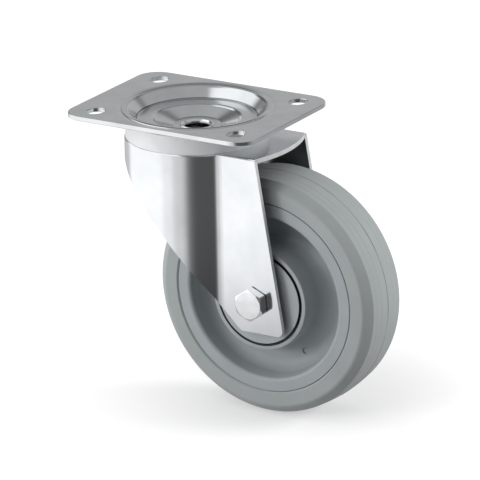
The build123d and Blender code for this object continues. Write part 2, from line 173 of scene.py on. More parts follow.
@dataclass(frozen=True)
class Mark:
    """A thin line drawn in a finish's colour: a line that a mould left, or painted shade or a painted
    reflection.

    It lies place_mm from the swivel axis, the tread's middle or the axle, fades out over
    half_mm, and breaks up along its run where gaps is above 0. A facing azimuth, in degrees,
    keeps it to the arcs on that side and across from it, so that a painted shade or reflection
    shows only along that line of sight.
    """

    line: Line
    place_mm: float
    half_mm: float
    colour: str
    strength: float = 1.0
    gaps: float = 0.0
    facing: float | None = None

    def draw(self, tree: Tree, place: Socket, colour: Socket, run_mm: float) -> Socket:
        """Draw the mark over a finish's colour.

        Args:
            tree: the material's tree.
            place: object coordinates.
            colour: the colour without the mark.
            run_mm: length of the runs that a broken mark falls into.

        Returns:
            The colour's socket.
        """
        axes, centre = self.line.value
        moved = add_node(tree, "ShaderNodeVectorMath", (place, Vector(centre) * MM), operation="SUBTRACT")
        spoke = add_node(tree, "ShaderNodeVectorMath", (moved, axes), operation="MULTIPLY")
        reach = add_node(tree, "ShaderNodeVectorMath", (spoke,), operation="LENGTH").outputs["Value"]
        past = add_node(tree, "ShaderNodeMath", (reach, self.place_mm * MM), operation="SUBTRACT")
        away = add_node(tree, "ShaderNodeMath", (past,), operation="ABSOLUTE")
        edges = LINE_CORE * self.half_mm * MM, self.half_mm * MM
        line = add_node(tree, "ShaderNodeMapRange", (away, *edges, self.strength, 0.0),
                        interpolation_type=Blend.SMOOTH)
        runs = add_node(tree, "ShaderNodeTexNoise", {
            "Vector": place, "Scale": 1 / (run_mm * MM), "Detail": 1.0, "Roughness": NOISE_ROUGHNESS})
        whole = add_node(tree, "ShaderNodeMapRange", (runs, *RUN_EDGES, 1.0 - self.gaps, 1.0))
        share = add_node(tree, "ShaderNodeMath", (line, whole), operation="MULTIPLY")
        if self.facing is not None:
            level = add_node(tree, "ShaderNodeVectorMath", (spoke,), operation="NORMALIZE")
            across = add_node(tree, "ShaderNodeVectorMath", (level, direction(self.facing)),
                              operation="DOT_PRODUCT").outputs["Value"]
            either = add_node(tree, "ShaderNodeMath", (across,), operation="ABSOLUTE")
            kept = add_node(tree, "ShaderNodeMapRange", (either, *SIDE_EDGES, 0.0, 1.0),
                            interpolation_type=Blend.SMOOTH)
            share = add_node(tree, "ShaderNodeMath", (share, kept), operation="MULTIPLY")
        return add_node(tree, "ShaderNodeMix", {0: share, 6: colour, 7: linear(self.colour)},
                        data_type="RGBA").outputs[2]


@dataclass(frozen=True)
class Finish:
    """A surface: what it is made of and how it was made.

    colour and shade are its lighter and its darker patches, each about patch_mm across, and
    gloss says how much rougher the dark ones and how much smoother the light ones are. Its
    grain is grain_mm wide and grain_depth_mm deep.
    """

    name: str
    colour: str
    shade: str
    roughness: float
    metallic: float = 0.0
    patch_mm: float = 20.0
    grain_mm: float = 0.4
    grain_depth_mm: float = 0.01
    marks: tuple[Mark, ...] = ()
    gloss: Point = (1.12, 0.9)

    def material(self) -> bpy.types.Material:
        """Build the material, once.

        Returns:
            The material, which bears the finish's name.
        """
        found = bpy.data.materials.get(self.name)
        if found:
            return found
        material = bpy.data.materials.new(self.name)
        material.use_nodes = True
        tree = material.node_tree
        place = add_node(tree, "ShaderNodeTexCoord").outputs["Object"]
        cloud = add_node(tree, "ShaderNodeTexNoise", {
            "Vector": place, "Scale": 1 / (self.patch_mm * MM), "Detail": 3.0,
            "Roughness": NOISE_ROUGHNESS})
        patches = add_node(tree, "ShaderNodeMapRange", (cloud, *PATCH_EDGES, 0.0, 1.0))
        colour = add_node(tree, "ShaderNodeMix", {
            0: patches, 6: linear(self.shade), 7: linear(self.colour)}, data_type="RGBA").outputs[2]
        for mark in self.marks:
            colour = mark.draw(tree, place, colour, self.patch_mm)
        rough = (self.roughness * share for share in self.gloss)
        sheen = add_node(tree, "ShaderNodeMapRange", (patches, 0.0, 1.0, *rough))
        bump = add_node(tree, "ShaderNodeBump", {
            "Height": self.relief(tree, place), "Distance": self.grain_depth_mm * MM, "Strength": 1.0})
        feed(tree, tree.nodes["Principled BSDF"], {
            "Metallic": self.metallic, "Base Color": colour, "Roughness": sheen, "Normal": bump})
        return material

    def relief(self, tree: Tree, place: Socket) -> Node:
        """Height of the surface: an even grain.

        Args:
            tree: the material's tree.
            place: object coordinates.

        Returns:
            The node that gives the height.
        """
        return add_node(tree, "ShaderNodeTexNoise", {
            "Vector": place, "Scale": 1 / (self.grain_mm * MM), "Detail": 2.0,
            "Roughness": NOISE_ROUGHNESS})


@dataclass(frozen=True)
class BrightZinc(Finish):
    """Zinc electroplated on cold-rolled sheet: clouded by the bath, streaked upright by the press."""

    gloss: Point = (1.2, 0.85)
    draw_mm: float = 1.6
    draw_stretch: Triple = (1.0, 1.0, 0.06)
    grain_share: float = 0.35

    def relief(self, tree: Tree, place: Socket) -> Node:
        """Height of the surface: upright draw marks over the grain.

        Args:
            tree: the material's tree.
            place: object coordinates.

        Returns:
            The node that gives the height.
        """
        upright = add_node(tree, "ShaderNodeMapping", {"Vector": place, "Scale": self.draw_stretch})
        streaks = add_node(tree, "ShaderNodeTexNoise", {
            "Vector": upright, "Scale": 1 / (self.draw_mm * MM), "Detail": 2.0,
            "Roughness": NOISE_ROUGHNESS})
        grain = super().relief(tree, place)
        return add_node(tree, "ShaderNodeMath", (grain, self.grain_share, streaks),
                        operation="MULTIPLY_ADD")


@dataclass(frozen=True)
class TurnedSteel(Finish):
    """Steel off a lathe or a tube mill: fine rings round the axle."""

    gloss: Point = (1.15, 0.9)
    ring_mm: float = 0.5
    ring_stretch: Triple = (1.0, 0.05, 0.05)

    def relief(self, tree: Tree, place: Socket) -> Node:
        """Height of the surface: rings.

        Args:
            tree: the material's tree.
            place: object coordinates.

        Returns:
            The node that gives the height.
        """
        along = add_node(tree, "ShaderNodeMapping", {"Vector": place, "Scale": self.ring_stretch})
        return add_node(tree, "ShaderNodeTexNoise", {
            "Vector": along, "Scale": 1 / (self.ring_mm * MM), "Detail": 2.0,
            "Roughness": NOISE_ROUGHNESS})


# Plating crystals, a mould's texture, draw marks and turned rings are 0.02 to 0.3 mm wide, too
# fine to show, so grains are drawn 0.2 to 0.6 mm wide, rings 0.5 mm and draw marks 1.6 mm. The
# plating's clouds have their real width.

# Bright zinc on the fork's outside: a near mirror whose clouds soften the bands it shows.
ZINC_SHEET = BrightZinc("bright_zinc_plated_sheet", "#e8eaec", "#dcdfe1", 0.13, 1.0, 28.0, 0.6, 0.0035)
# Inside the fork: dull zinc whose dark colour is painted shade, so the wheel's bay reads deep.
ZINC_INSIDE_PAINTED_SHADE = BrightZinc("zinc_inside_fork_painted_shade", "#6c7072", "#606466", 0.3, 1.0, 24.0, 0.6, 0.004)
# Zinc over a sheared edge: torn grain scatters light, so the sheet's thickness is a pale line.
ZINC_EDGE = Finish("zinc_over_sheared_edge", "#f2f4f5", "#e4e6e7", 0.38, 0.6, 5.0, 0.4, 0.01)
# Bright zinc on the thick plate, greyer and cloudier. Its dark lines round the dish and funnel
# are painted shade and painted reflections, three kept to the arcs along the camera's line of sight.
ZINC_PLATE = BrightZinc("bright_zinc_plated_plate", "#dcdfe0", "#cfd3d5", 0.15, 1.0, 22.0, 0.6, 0.005, (
    Mark(Line.SWIVEL, 47.5, 1.1, "#26292a", 1.0, 0.1, 31.0),
    Mark(Line.SWIVEL, 45.4, 0.9, "#3c4042", 0.15),
    Mark(Line.SWIVEL, 39.0, 0.5, "#2c2f30", 0.8, 0.2),
    Mark(Line.SWIVEL, 28.3, 0.6, "#3a3d3f", 0.55, 0.3, 31.0),
    Mark(Line.SWIVEL, 15.6, 1.3, "#3a3d3f", 0.6, 0.3, 31.0)))
# Zinc without brightener on the race cups: silky and pale, it mirrors nothing.
ZINC_SATIN = BrightZinc("satin_zinc_plated_cup", "#e1e3e4", "#dadcdd", 0.6, 0.3, 18.0, 0.5, 0.004)
# Barrel-plated fasteners: bright, and dimpled a little by knocking together.
ZINC_BOLT = Finish("bright_zinc_plated_fastener", "#eff1f3", "#e2e4e6", 0.16, 1.0, 6.0, 0.35, 0.004)
# The bolt's forged head: brighter still, with a black ring of painted shade in the gap under it.
ZINC_HEAD = Finish("bright_zinc_plated_bolt_head", "#eff1f3", "#e2e4e6", 0.14, 1.0, 6.0, 0.35, 0.004, (
    Mark(Line.TREAD, 33.1, 0.8, "#050505"),))
# The hollow rivet: a bright rolled lip round a bore painted black as shade.
ZINC_RIVET = Finish("bright_zinc_plated_rivet", "#eff1f3", "#e2e4e6", 0.16, 1.0, 6.0, 0.35, 0.004, (
    Mark(Line.SWIVEL, 6.2, 2.6, "#050505"),))
# Hardened and ground bearing steel: a clean mirror.
BEARING_STEEL = Finish("polished_bearing_steel", "#cfd1d3", "#bfc2c4", 0.08, 1.0, 4.0, 0.2, 0.0005)
# Cold-drawn tube: rings of the sizing die spread the highlight along the axle.
TUBE_STEEL = TurnedSteel("cold_drawn_tube_steel", "#b4b6b7", "#9fa2a3", 0.32, 1.0, 8.0, 0.4, 0.004)
# Moulded rubber that leaves no mark on floors: matt and even, with the mould's fine ribs.
GREY_RUBBER = Finish("moulded_grey_rubber", "#a3a8a9", "#9ca1a2", 0.62, 0.0, 34.0, 0.5, 0.02, (
    Mark(Line.TREAD, 0.0, 0.6, "#5f6566", 0.8, 0.8),
    Mark(Line.TREAD, 7.6, 0.45, "#7c8283", 0.4, 0.9),
    Mark(Line.TREAD, 12.4, 0.4, "#7c8283", 0.35, 0.9)))
# Moulded nylon of the rim: a soft sheen, with a black ring of painted shade where the hub's mouth meets the
# guard.
GREY_NYLON = Finish("moulded_grey_nylon", "#a2a8ab", "#9ba1a4", 0.42, 0.0, 26.0, 0.45, 0.008, (
    Mark(Line.AXLE, 31.05, 0.55, "#060606"),))
# Moulded nylon of the guards: the same sheen, a shade lighter, with a black ring of painted shade at its
# rim.
GUARD_NYLON = Finish("moulded_guard_nylon", "#a6acae", "#9fa5a7", 0.42, 0.0, 18.0, 0.4, 0.006, (
    Mark(Line.AXLE, 29.9, 0.45, "#060606"),))
# Undyed nylon of the cages: creamy, with a soft sheen.
CAGE_NYLON = Finish("natural_nylon_cage", "#dcd9cc", "#d0ccbe", 0.45, 0.0, 12.0, 0.4, 0.006)
# The lock nut's nylon ring: off-white, a little glossier.
INSERT_NYLON = Finish("lock_nut_nylon", "#e2e1dc", "#d6d5cf", 0.4, 0.0, 5.0, 0.3, 0.004)


# ---- outlines -----------------------------------------------------------------------------
def direction(azimuth: float, height: float = 0.0) -> Vector:
    """Unit vector from degrees round from +X towards +Y and degrees above the level."""
    a, h = math.radians(azimuth), math.radians(height)
    return Vector((math.cos(a) * math.cos(h), math.sin(a) * math.cos(h), math.sin(h)))


def arc(centre: Point, radius: float, start: float, end: float, steps: int) -> list[Point]:
    """Points along an arc, both ends included.

    Args:
        centre: the arc's centre.
        radius: its radius.
        start: first angle, in degrees.
        end: last angle, in degrees.
        steps: how many runs.

    Returns:
        steps + 1 points.
    """
    angles = (math.radians(start + (end - start) * i / steps) for i in range(steps + 1))
    return [(centre[0] + radius * math.cos(a), centre[1] + radius * math.sin(a)) for a in angles]


def circle(centre: Point, radius: float, steps: int) -> list[Point]:
    """Points of a full circle, its first point not repeated."""
    return arc(centre, radius, 0, 360, steps)[:-1]


def rounded(corners: Sequence[Triple], steps: int = 6) -> list[Point]:
    """Round the corners of a closed outline.

    Args:
        corners: each corner's two coordinates and its radius; 0 keeps it sharp.
        steps: runs in a quarter turn.

    Returns:
        The outline's points.
    """
    points: list[Point] = []
    count = len(corners)
    for index, (u, v, radius) in enumerate(corners):
        here = Vector((u, v))
        if radius <= 0:
            points.append((u, v))
            continue
        back = (Vector(corners[index - 1][:2]) - here).normalized()
        ahead = (Vector(corners[(index + 1) % count][:2]) - here).normalized()
        half = back.angle(ahead) / 2
        reach = radius / math.tan(half)
        centre = here + (back + ahead).normalized() * (radius / math.sin(half))
        first, last = here + back * reach - centre, here + ahead * reach - centre
        turn = first.angle_signed(last)
        runs = max(2, round(steps * abs(turn) / (math.pi / 2)))
        for i in range(runs + 1):
            spoke = first.copy()
            spoke.rotate(Matrix.Rotation(-turn * i / runs, 2))
            points.append(tuple(centre + spoke))
    return points


def mirrored(half: Sequence[Point]) -> list[Point]:
    """The other half of an outline, back along the axis to where the first half starts."""
    return [(r, -x) for r, x in reversed(half)]


def sheet_outline(skin: Sequence[Triple], thickness: float, steps: int = 6) -> list[Point]:
    """Closed outline of a bent sheet.

    Args:
        skin: radius, height and bend radius of each point of the upper skin, from the inside
            out. The bend is positive where the skin is the inside of the bend.
        thickness: the sheet lies this far below the skin.
        steps: runs in a quarter turn.

    Returns:
        The outline's points, from the skin's first point out and back along the underside.
    """
    path = [Vector((u, v)) for u, v, _ in skin]
    runs = [(b - a).normalized() for a, b in zip(path, path[1:])]
    normals = [Vector((d.y, -d.x)) for d in runs]
    under = [path[0] + normals[0] * thickness]
    for corner, n1, n2 in zip(path[1:], normals, normals[1:]):
        under.append(corner + (n1 + n2) * (thickness / (1 + n1.dot(n2))))
    under.append(path[-1] + normals[-1] * thickness)
    upper, lower = [], []
    for index, ((u, v, bend), below) in enumerate(zip(skin, under)):
        end = index in (0, len(skin) - 1)
        top = 0.0 if end else (bend if bend > 0 else thickness - bend)
        bottom = 0.0 if end else (bend + thickness if bend > 0 else -bend)
        upper.append((u, v, top))
        lower.append((below.x, below.y, bottom))
    return rounded(upper + lower[::-1], steps)


# ---- meshes -------------------------------------------------------------------------------
def new_object(name: str, data: bpy.types.ID) -> Piece:
    """Put a mesh, a lamp or a camera in the scene as an object at the origin.

    Args:
        name: the object's name.
        data: what it holds.

    Returns:
        The object.
    """
    piece = bpy.data.objects.new(name, data)
    bpy.context.scene.collection.objects.link(piece)
    return piece


def mesh_from(work: bmesh.types.BMesh, name: str) -> bpy.types.Mesh:
    """Make a mesh of what was put together, and free that.

    Args:
        work: what was put together.
        name: the mesh's name.

    Returns:
        The mesh.
    """
    mesh = bpy.data.meshes.new(name)
    work.to_mesh(mesh)
    work.free()
    return mesh


def close_up(mesh: bpy.types.Mesh) -> None:
    """Merge doubled points and turn the faces outwards.

    Args:
        mesh: the mesh, which is changed.
    """
    work = bmesh.new()
    work.from_mesh(mesh)
    bmesh.ops.remove_doubles(work, verts=work.verts, dist=SAME_PLACE)
    bmesh.ops.recalc_face_normals(work, faces=work.faces)
    work.to_mesh(mesh)
    work.free()


class Skin:
    """Points, in millimetres, and faces of a mesh that is being put together."""

    def __init__(self) -> None:
        """Start with nothing."""
        self.points: list[Vector] = []
        self.faces: list[Sequence[int]] = []

    def add(self, places: Iterable[Triple]) -> list[int]:
        """Add points.

        Args:
            places: where they are.

        Returns:
            Their numbers.
        """
        start = len(self.points)
        self.points += [Vector(place) for place in places]
        return list(range(start, len(self.points)))

    def band(self, rows: Sequence[Sequence[int]], closed: bool = True) -> None:
        """Join neighbouring rows of the same length with faces.

        Args:
            rows: point numbers of each row.
            closed: whether each row is a ring.
        """
        for low, high in zip(rows, rows[1:]):
            count = len(low)
            for i in range(count if closed else count - 1):
                j = (i + 1) % count
                self.faces.append([low[i], low[j], high[j], high[i]])

    def fill(self, loops: Sequence[Sequence[int]], upright: bool = False) -> None:
        """Fill a flat outline, its holes left open.

        Args:
            loops: point numbers of the outline and of each hole.
            upright: whether the flat stands across X instead of lying level.
        """
        flat = [i for loop in loops for i in loop]
        places = [[self.points[i].yzx if upright else self.points[i] for i in loop] for loop in loops]
        self.faces += [[flat[i] for i in triangle] for triangle in tessellate_polygon(places)]

    def piece(self, name: str) -> Piece:
        """Close the mesh and put it in the scene.

        Args:
            name: the piece's name.

        Returns:
            The object.
        """
        mesh = bpy.data.meshes.new(name)
        mesh.from_pydata([point * MM for point in self.points], [], self.faces)
        close_up(mesh)
        return new_object(name, mesh)


def add_modifier(piece: Piece, title: str, kind: str, **settings) -> bpy.types.Modifier:
    """Give a piece a modifier with its settings.

    Args:
        piece: the object.
        title: the modifier's name.
        kind: its type.
        settings: its properties.

    Returns:
        The modifier.
    """
    modifier = piece.modifiers.new(title, kind)
    for name, value in settings.items():
        setattr(modifier, name, value)
    return modifier


def settle(piece: Piece) -> None:
    """Turn a piece's modifiers into its plain mesh.

    Args:
        piece: the object, which is left with no modifier.
    """
    bpy.context.view_layer.update()
    graph = bpy.context.evaluated_depsgraph_get()
    mesh = bpy.data.meshes.new_from_object(piece.evaluated_get(graph))
    piece.modifiers.clear()
    old, piece.data = piece.data, mesh
    name = old.name
    bpy.data.meshes.remove(old)
    mesh.name = name


def smooth(piece: Piece, *finishes: Finish) -> Piece:
    """Shade a piece smooth over its bends and flat on its flats, and give it its finishes.

    Args:
        piece: the object.
        finishes: its surfaces, in the order of the faces' material numbers.

    Returns:
        The same object.
    """
    piece.data.shade_smooth()
    piece.data.set_sharp_from_angle(angle=SMOOTH_ANGLE)
    add_modifier(piece, "flat faces stay flat", "WEIGHTED_NORMAL", keep_sharp=True, weight=100)
    settle(piece)
    numbers = [face.material_index for face in piece.data.polygons]
    piece.data.materials.clear()
    for finish in finishes:
        piece.data.materials.append(finish.material())
    for face, number in zip(piece.data.polygons, numbers):
        face.material_index = min(number, len(finishes) - 1)
    return piece


def join(name: str, pieces: Sequence[Piece]) -> Piece:
    """Put several pieces' meshes into one object.

    Args:
        name: the new piece's name.
        pieces: the objects; they go when their meshes are removed.

    Returns:
        The joined object, with the first piece's finishes.
    """
    work = bmesh.new()
    for piece in pieces:
        work.from_mesh(piece.data)
    mesh = mesh_from(work, name)
    for material in pieces[0].data.materials:
        mesh.materials.append(material)
    for piece in pieces:
        bpy.data.meshes.remove(piece.data)
    return new_object(name, mesh)


# ---- geometry nodes -----------------------------------------------------------------------
class NodeRule:
    """A Geometry Nodes tree with named inputs, run on a mesh and turned to a plain piece.

    A rule works round an upright spindle at the origin. Tilt and Centre take what it made to
    the real spindle, and Finish dresses it. own lists the other inputs of a rule.
    """

    title = "Rule"
    own: tuple[tuple[str, str, object], ...] = ()
    shared = (("Tilt", "NodeSocketVector", ORIGIN), ("Centre", "NodeSocketVector", ORIGIN),
              ("Finish", "NodeSocketMaterial", None))

    def __init__(self) -> None:
        """Build the tree."""
        self.tree = bpy.data.node_groups.new(self.title, "GeometryNodeTree")
        face = self.tree.interface
        for way in ("INPUT", "OUTPUT"):
            face.new_socket("Geometry", in_out=way, socket_type="NodeSocketGeometry")
        for name, kind, start in self.own + self.shared:
            socket = face.new_socket(name, in_out="INPUT", socket_type=kind)
            if start is not None:
                socket.default_value = start
        self.given = add_node(self.tree, "NodeGroupInput").outputs
        self.end = add_node(self.tree, "NodeGroupOutput")
        self.wire()

    def wire(self) -> None:
        """Add the tree's nodes."""

    def set_down(self, geometry: Socket, place: Node) -> Node:
        """Take points to the real spindle.

        Args:
            geometry: what has the points.
            place: where they are round the upright one.

        Returns:
            The node that gives the geometry.
        """
        tilted = add_node(self.tree, "ShaderNodeVectorRotate", {
            "Vector": place, "Rotation": self.given["Tilt"]}, rotation_type="EULER_XYZ")
        moved = add_node(self.tree, "ShaderNodeVectorMath", (tilted, self.given["Centre"]),
                         operation="ADD")
        return add_node(self.tree, "GeometryNodeSetPosition", {"Geometry": geometry, "Position": moved})

    def close(self, geometry: Node) -> None:
        """End the tree in real geometry with the piece's finish.

        Args:
            geometry: what the tree has made.
        """
        real = add_node(self.tree, "GeometryNodeRealizeInstances", {"Geometry": geometry})
        dressed = add_node(self.tree, "GeometryNodeSetMaterial", {
            "Geometry": real, "Material": self.given["Finish"]})
        feed(self.tree, self.end, {"Geometry": dressed})

    def run(self, name: str, base: bpy.types.Mesh, finish: Finish, **inputs) -> Piece:
        """Run the tree on a mesh.

        Args:
            name: the piece's name.
            base: the mesh the tree starts from.
            finish: the piece's surface.
            inputs: values of the named inputs.

        Returns:
            A plain mesh object.
        """
        piece = new_object(name, base)
        modifier = add_modifier(piece, self.title, "NODES", node_group=self.tree)
        keys = {item.name: item.identifier for item in self.tree.interface.items_tree
                if item.item_type == "SOCKET" and item.in_out == "INPUT"}
        for label, value in {**inputs, "Finish": finish.material()}.items():
            modifier[keys[label]] = value
        settle(piece)
        close_up(piece.data)
        return smooth(piece, finish)


class Turning(NodeRule):
    """Turns an outline round the spindle: its points become rings of a closed skin.

    The outline lies in the base mesh's XZ plane: X is the radius, Z the place on the spindle.
    """

    title = "Turning"
    own = (("Steps", "NodeSocketInt", 128),)

    def wire(self) -> None:
        """A grid of steps by outline points, each vertex moved to its turned place."""
        tree, given = self.tree, self.given
        points = add_node(tree, "GeometryNodeAttributeDomainSize", {"Geometry": given["Geometry"]})
        points = points.outputs["Point Count"]
        across, up = (add_node(tree, "ShaderNodeMath", (count, 1.0), operation="ADD")
                      for count in (given["Steps"], points))
        grid = add_node(tree, "GeometryNodeMeshGrid", {
            "Size X": given["Steps"], "Size Y": points, "Vertices X": across, "Vertices Y": up})
        here = add_node(tree, "GeometryNodeInputPosition")
        place = add_node(tree, "ShaderNodeSeparateXYZ", (here,)).outputs
        moved = (add_node(tree, "ShaderNodeMath", (size, 0.5, place[axis]), operation="MULTIPLY_ADD")
                 for axis, size in (("X", given["Steps"]), ("Y", points)))
        step, row = (add_node(tree, "ShaderNodeMath", (value,), operation="ROUND") for value in moved)
        row = add_node(tree, "ShaderNodeMath", (row, points), operation="FLOORED_MODULO")
        share = add_node(tree, "ShaderNodeMath", (step, given["Steps"]), operation="DIVIDE")
        angle = add_node(tree, "ShaderNodeMath", (share, math.tau), operation="MULTIPLY")
        outline = add_node(tree, "GeometryNodeSampleIndex", {
            "Geometry": given["Geometry"], "Value": here, "Index": row},
            data_type="FLOAT_VECTOR", domain="POINT")
        turned = add_node(tree, "ShaderNodeVectorRotate", {"Vector": outline, "Angle": angle},
                          rotation_type="Z_AXIS")
        skin = self.set_down(grid.outputs["Mesh"], turned)
        self.close(add_node(tree, "GeometryNodeMergeByDistance", {
            "Geometry": skin, "Distance": SAME_PLACE}))


class RingOfCopies(NodeRule):
    """Sets copies of the base mesh at even steps on a circle, each turned with its place."""

    title = "RingOfCopies"
    own = (("Count", "NodeSocketInt", 8), ("Circle", "NodeSocketFloat", 0.01))

    def wire(self) -> None:
        """Points on a circle that carry the copies."""
        tree, given = self.tree, self.given
        points = add_node(tree, "GeometryNodePoints", {"Count": given["Count"]})
        index = add_node(tree, "GeometryNodeInputIndex")
        share = add_node(tree, "ShaderNodeMath", (index, given["Count"]), operation="DIVIDE")
        angle = add_node(tree, "ShaderNodeMath", (share, math.tau), operation="MULTIPLY")
        spoke = add_node(tree, "ShaderNodeCombineXYZ", [
            add_node(tree, "ShaderNodeMath", (angle,), operation=wave) for wave in ("COSINE", "SINE")])
        place = add_node(tree, "ShaderNodeVectorMath", {0: spoke, "Scale": given["Circle"]},
                         operation="SCALE")
        spread = add_node(tree, "GeometryNodeSetPosition", {"Geometry": points, "Position": place})
        facing = add_node(tree, "ShaderNodeCombineXYZ", {"Z": angle})
        copies = add_node(tree, "GeometryNodeInstanceOnPoints", {
            "Points": spread, "Instance": given["Geometry"], "Rotation": facing})
        real = add_node(tree, "GeometryNodeRealizeInstances", {"Geometry": copies})
        here = add_node(tree, "GeometryNodeInputPosition")
        self.close(self.set_down(real.outputs["Geometry"], here))


@dataclass(frozen=True)
class Spindle:
    """An axis that parts are turned on."""

    tilt: Triple = ORIGIN
    centre_mm: Triple = ORIGIN

    def inputs(self) -> dict[str, Vector]:
        """The axis as inputs of a node rule."""
        return {"Tilt": Vector(self.tilt), "Centre": Vector(self.centre_mm) * MM}


SWIVEL = Spindle()
AXLE = Spindle((0.0, math.pi / 2, 0.0), AXLE_PLACE)


class Workshop:
    """Makes turned and repeated pieces with the two node rules."""

    def __init__(self) -> None:
        """Build the node trees."""
        self.turning = Turning()
        self.ring = RingOfCopies()

    def turn(self, name: str, outline: Sequence[Point], spindle: Spindle, finish: Finish,
             steps: int = 160) -> Piece:
        """Turn a closed outline round a spindle.

        Args:
            name: the piece's name.
            outline: (radius, place on the spindle) points, in millimetres.
            spindle: the axis.
            finish: the piece's surface.
            steps: flats round the turn.

        Returns:
            The piece.
        """
        base = bpy.data.meshes.new(name)
        base.from_pydata([(r * MM, 0.0, z * MM) for r, z in outline], [], [])
        return self.turning.run(name, base, finish, Steps=steps, **spindle.inputs())

    def repeat(self, name: str, base: bpy.types.Mesh, count: int, circle_mm: float,
               spindle: Spindle) -> Piece:
        """Set copies of a piece of bearing steel on a circle.

        Args:
            name: the piece's name.
            base: one copy, at the origin.
            count: how many.
            circle_mm: radius of the circle.
            spindle: the circle's axis.

        Returns:
            The piece.
        """
        return self.ring.run(name, base, BEARING_STEEL, Count=count, Circle=circle_mm * MM,
                             **spindle.inputs())


@dataclass
class SubAssembly:
    """Pieces that belong together. Its sizes are in millimetres."""

    shop: Workshop

    def make(self) -> None:
        """Build, dress and fit the pieces."""

    def fit(self, piece: Piece, body: str, slot: str, node: str) -> None:
        """Hand a finished piece to the frame.

        Args:
            piece: the object.
            body: the body it rides on.
            slot: its material slot; not used.
            node: the frame's node that it stands for.
        """
        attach(piece, body)
        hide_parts(node)
        log.info("%s: %d faces, rides on %s", piece.name, len(piece.data.polygons), body)


# ---- mounting plate -----------------------------------------------------------------------
@dataclass(frozen=True)
class Cut:
    """A rounded rectangle cut in sheet; out is -1 with the sheet inside it, 1 with it outside."""

    centre: Point
    length: float
    width: float
    radius: float
    steps: int
    out: int = 1

    def loop(self, inset: float) -> list[Point]:
        """The cut's outline, off the sheet by an inset.

        Args:
            inset: how far the outline lies in from the cut, towards the sheet.

        Returns:
            The loop's points, counter-clockwise.
        """
        grow = self.out * inset
        radius = self.radius + grow
        across, along = self.length / 2 + grow - radius, self.width / 2 + grow - radius
        points: list[Point] = []
        for turn, (sx, sy) in enumerate(((1, 1), (-1, 1), (-1, -1), (1, -1))):
            corner = (self.centre[0] + sx * across, self.centre[1] + sy * along)
            points += arc(corner, radius, 90 * turn, 90 * turn + 90, self.steps)
        return points


@dataclass
class MountingPlate(SubAssembly):
    """Flat plate with slotted holes, drawn down in the middle to a dish and a funnel.

    skin gives radius, height and bend of the drawn middle's upper face, and coined the radius
    and height of the groove that the tool's ring pressed round the dish. hole_flat keeps the
    arcs at a hole's ends apart, so that no two points fall together.
    """

    length: float = 140.0
    width: float = 110.0
    sheet: float = 3.0
    corner_r: float = 15.0
    corner_steps: int = 16
    edge_r: float = 0.55
    edge_rows: int = 4
    hole_spacing: Point = (77.5, 105.0)
    hole_length: float = 13.5
    hole_width: float = 11.0
    hole_steps: int = 12
    hole_flat: float = 1e-3
    steps: int = 240
    bend_steps: int = 10
    skin: tuple[Triple, ...] = (
        (9.65, -12.2, 0.0), (15.4, -12.2, 1.0), (27.3, -8.0, 0.6), (28.8, -7.0, -0.2),
        (38.6, -7.0, 0.8), (45.0, 0.0, -0.4), (52.6, 0.0, 0.0))
    coined: tuple[Point, ...] = (
        (48.5, 0.0), (48.62, -0.07), (48.9, -0.36), (49.1, -0.42), (49.4, -0.4), (51.6, 0.0))

    def cut_edge(self) -> list[Point]:
        """Inset and height of each row of a cut edge, from the upper face to the lower."""
        corner = arc((self.edge_r, -self.edge_r), self.edge_r, 90, 180, self.edge_rows)
        return corner + [(inset, -self.sheet - z) for inset, z in reversed(corner)]

    def build(self) -> Piece:
        """Make the plate's mesh: cut edges, both flat faces and the drawn middle.

        Returns:
            The undressed plate.
        """
        work = Skin()
        sx, sy = self.hole_spacing[0] / 2, self.hole_spacing[1] / 2
        cuts = [Cut(ORIGIN[:2], self.width, self.length, self.corner_r, self.corner_steps, -1)]
        cuts += [Cut((x, y), self.hole_length, self.hole_width, self.hole_width / 2 - self.hole_flat,
                     self.hole_steps) for x in (-sx, sx) for y in (-sy, sy)]
        tops, lows = [], []
        for cut in cuts:
            rows = [work.add((x, y, z) for x, y in cut.loop(inset)) for inset, z in self.cut_edge()]
            work.band(rows)
            tops.append(rows[0])
            lows.append(rows[-1])
        section = sheet_outline(self.skin, self.sheet, self.bend_steps)
        border = section.index(self.skin[-1][:2])
        section[border:border] = self.coined
        rows = [work.add((x, y, z) for x, y in circle(ORIGIN[:2], r, self.steps)) for r, z in section]
        start = border + len(self.coined) + 1
        rows = rows[start:] + rows[:start]
        work.band(rows)
        work.fill(tops + [rows[-1]])
        work.fill(lows + [rows[0]])
        return work.piece("mounting_plate")

    def make(self) -> None:
        """Build, dress and fit the plate."""
        self.fit(smooth(self.build(), ZINC_PLATE), "plate", "plate_zinc", "top_plate")


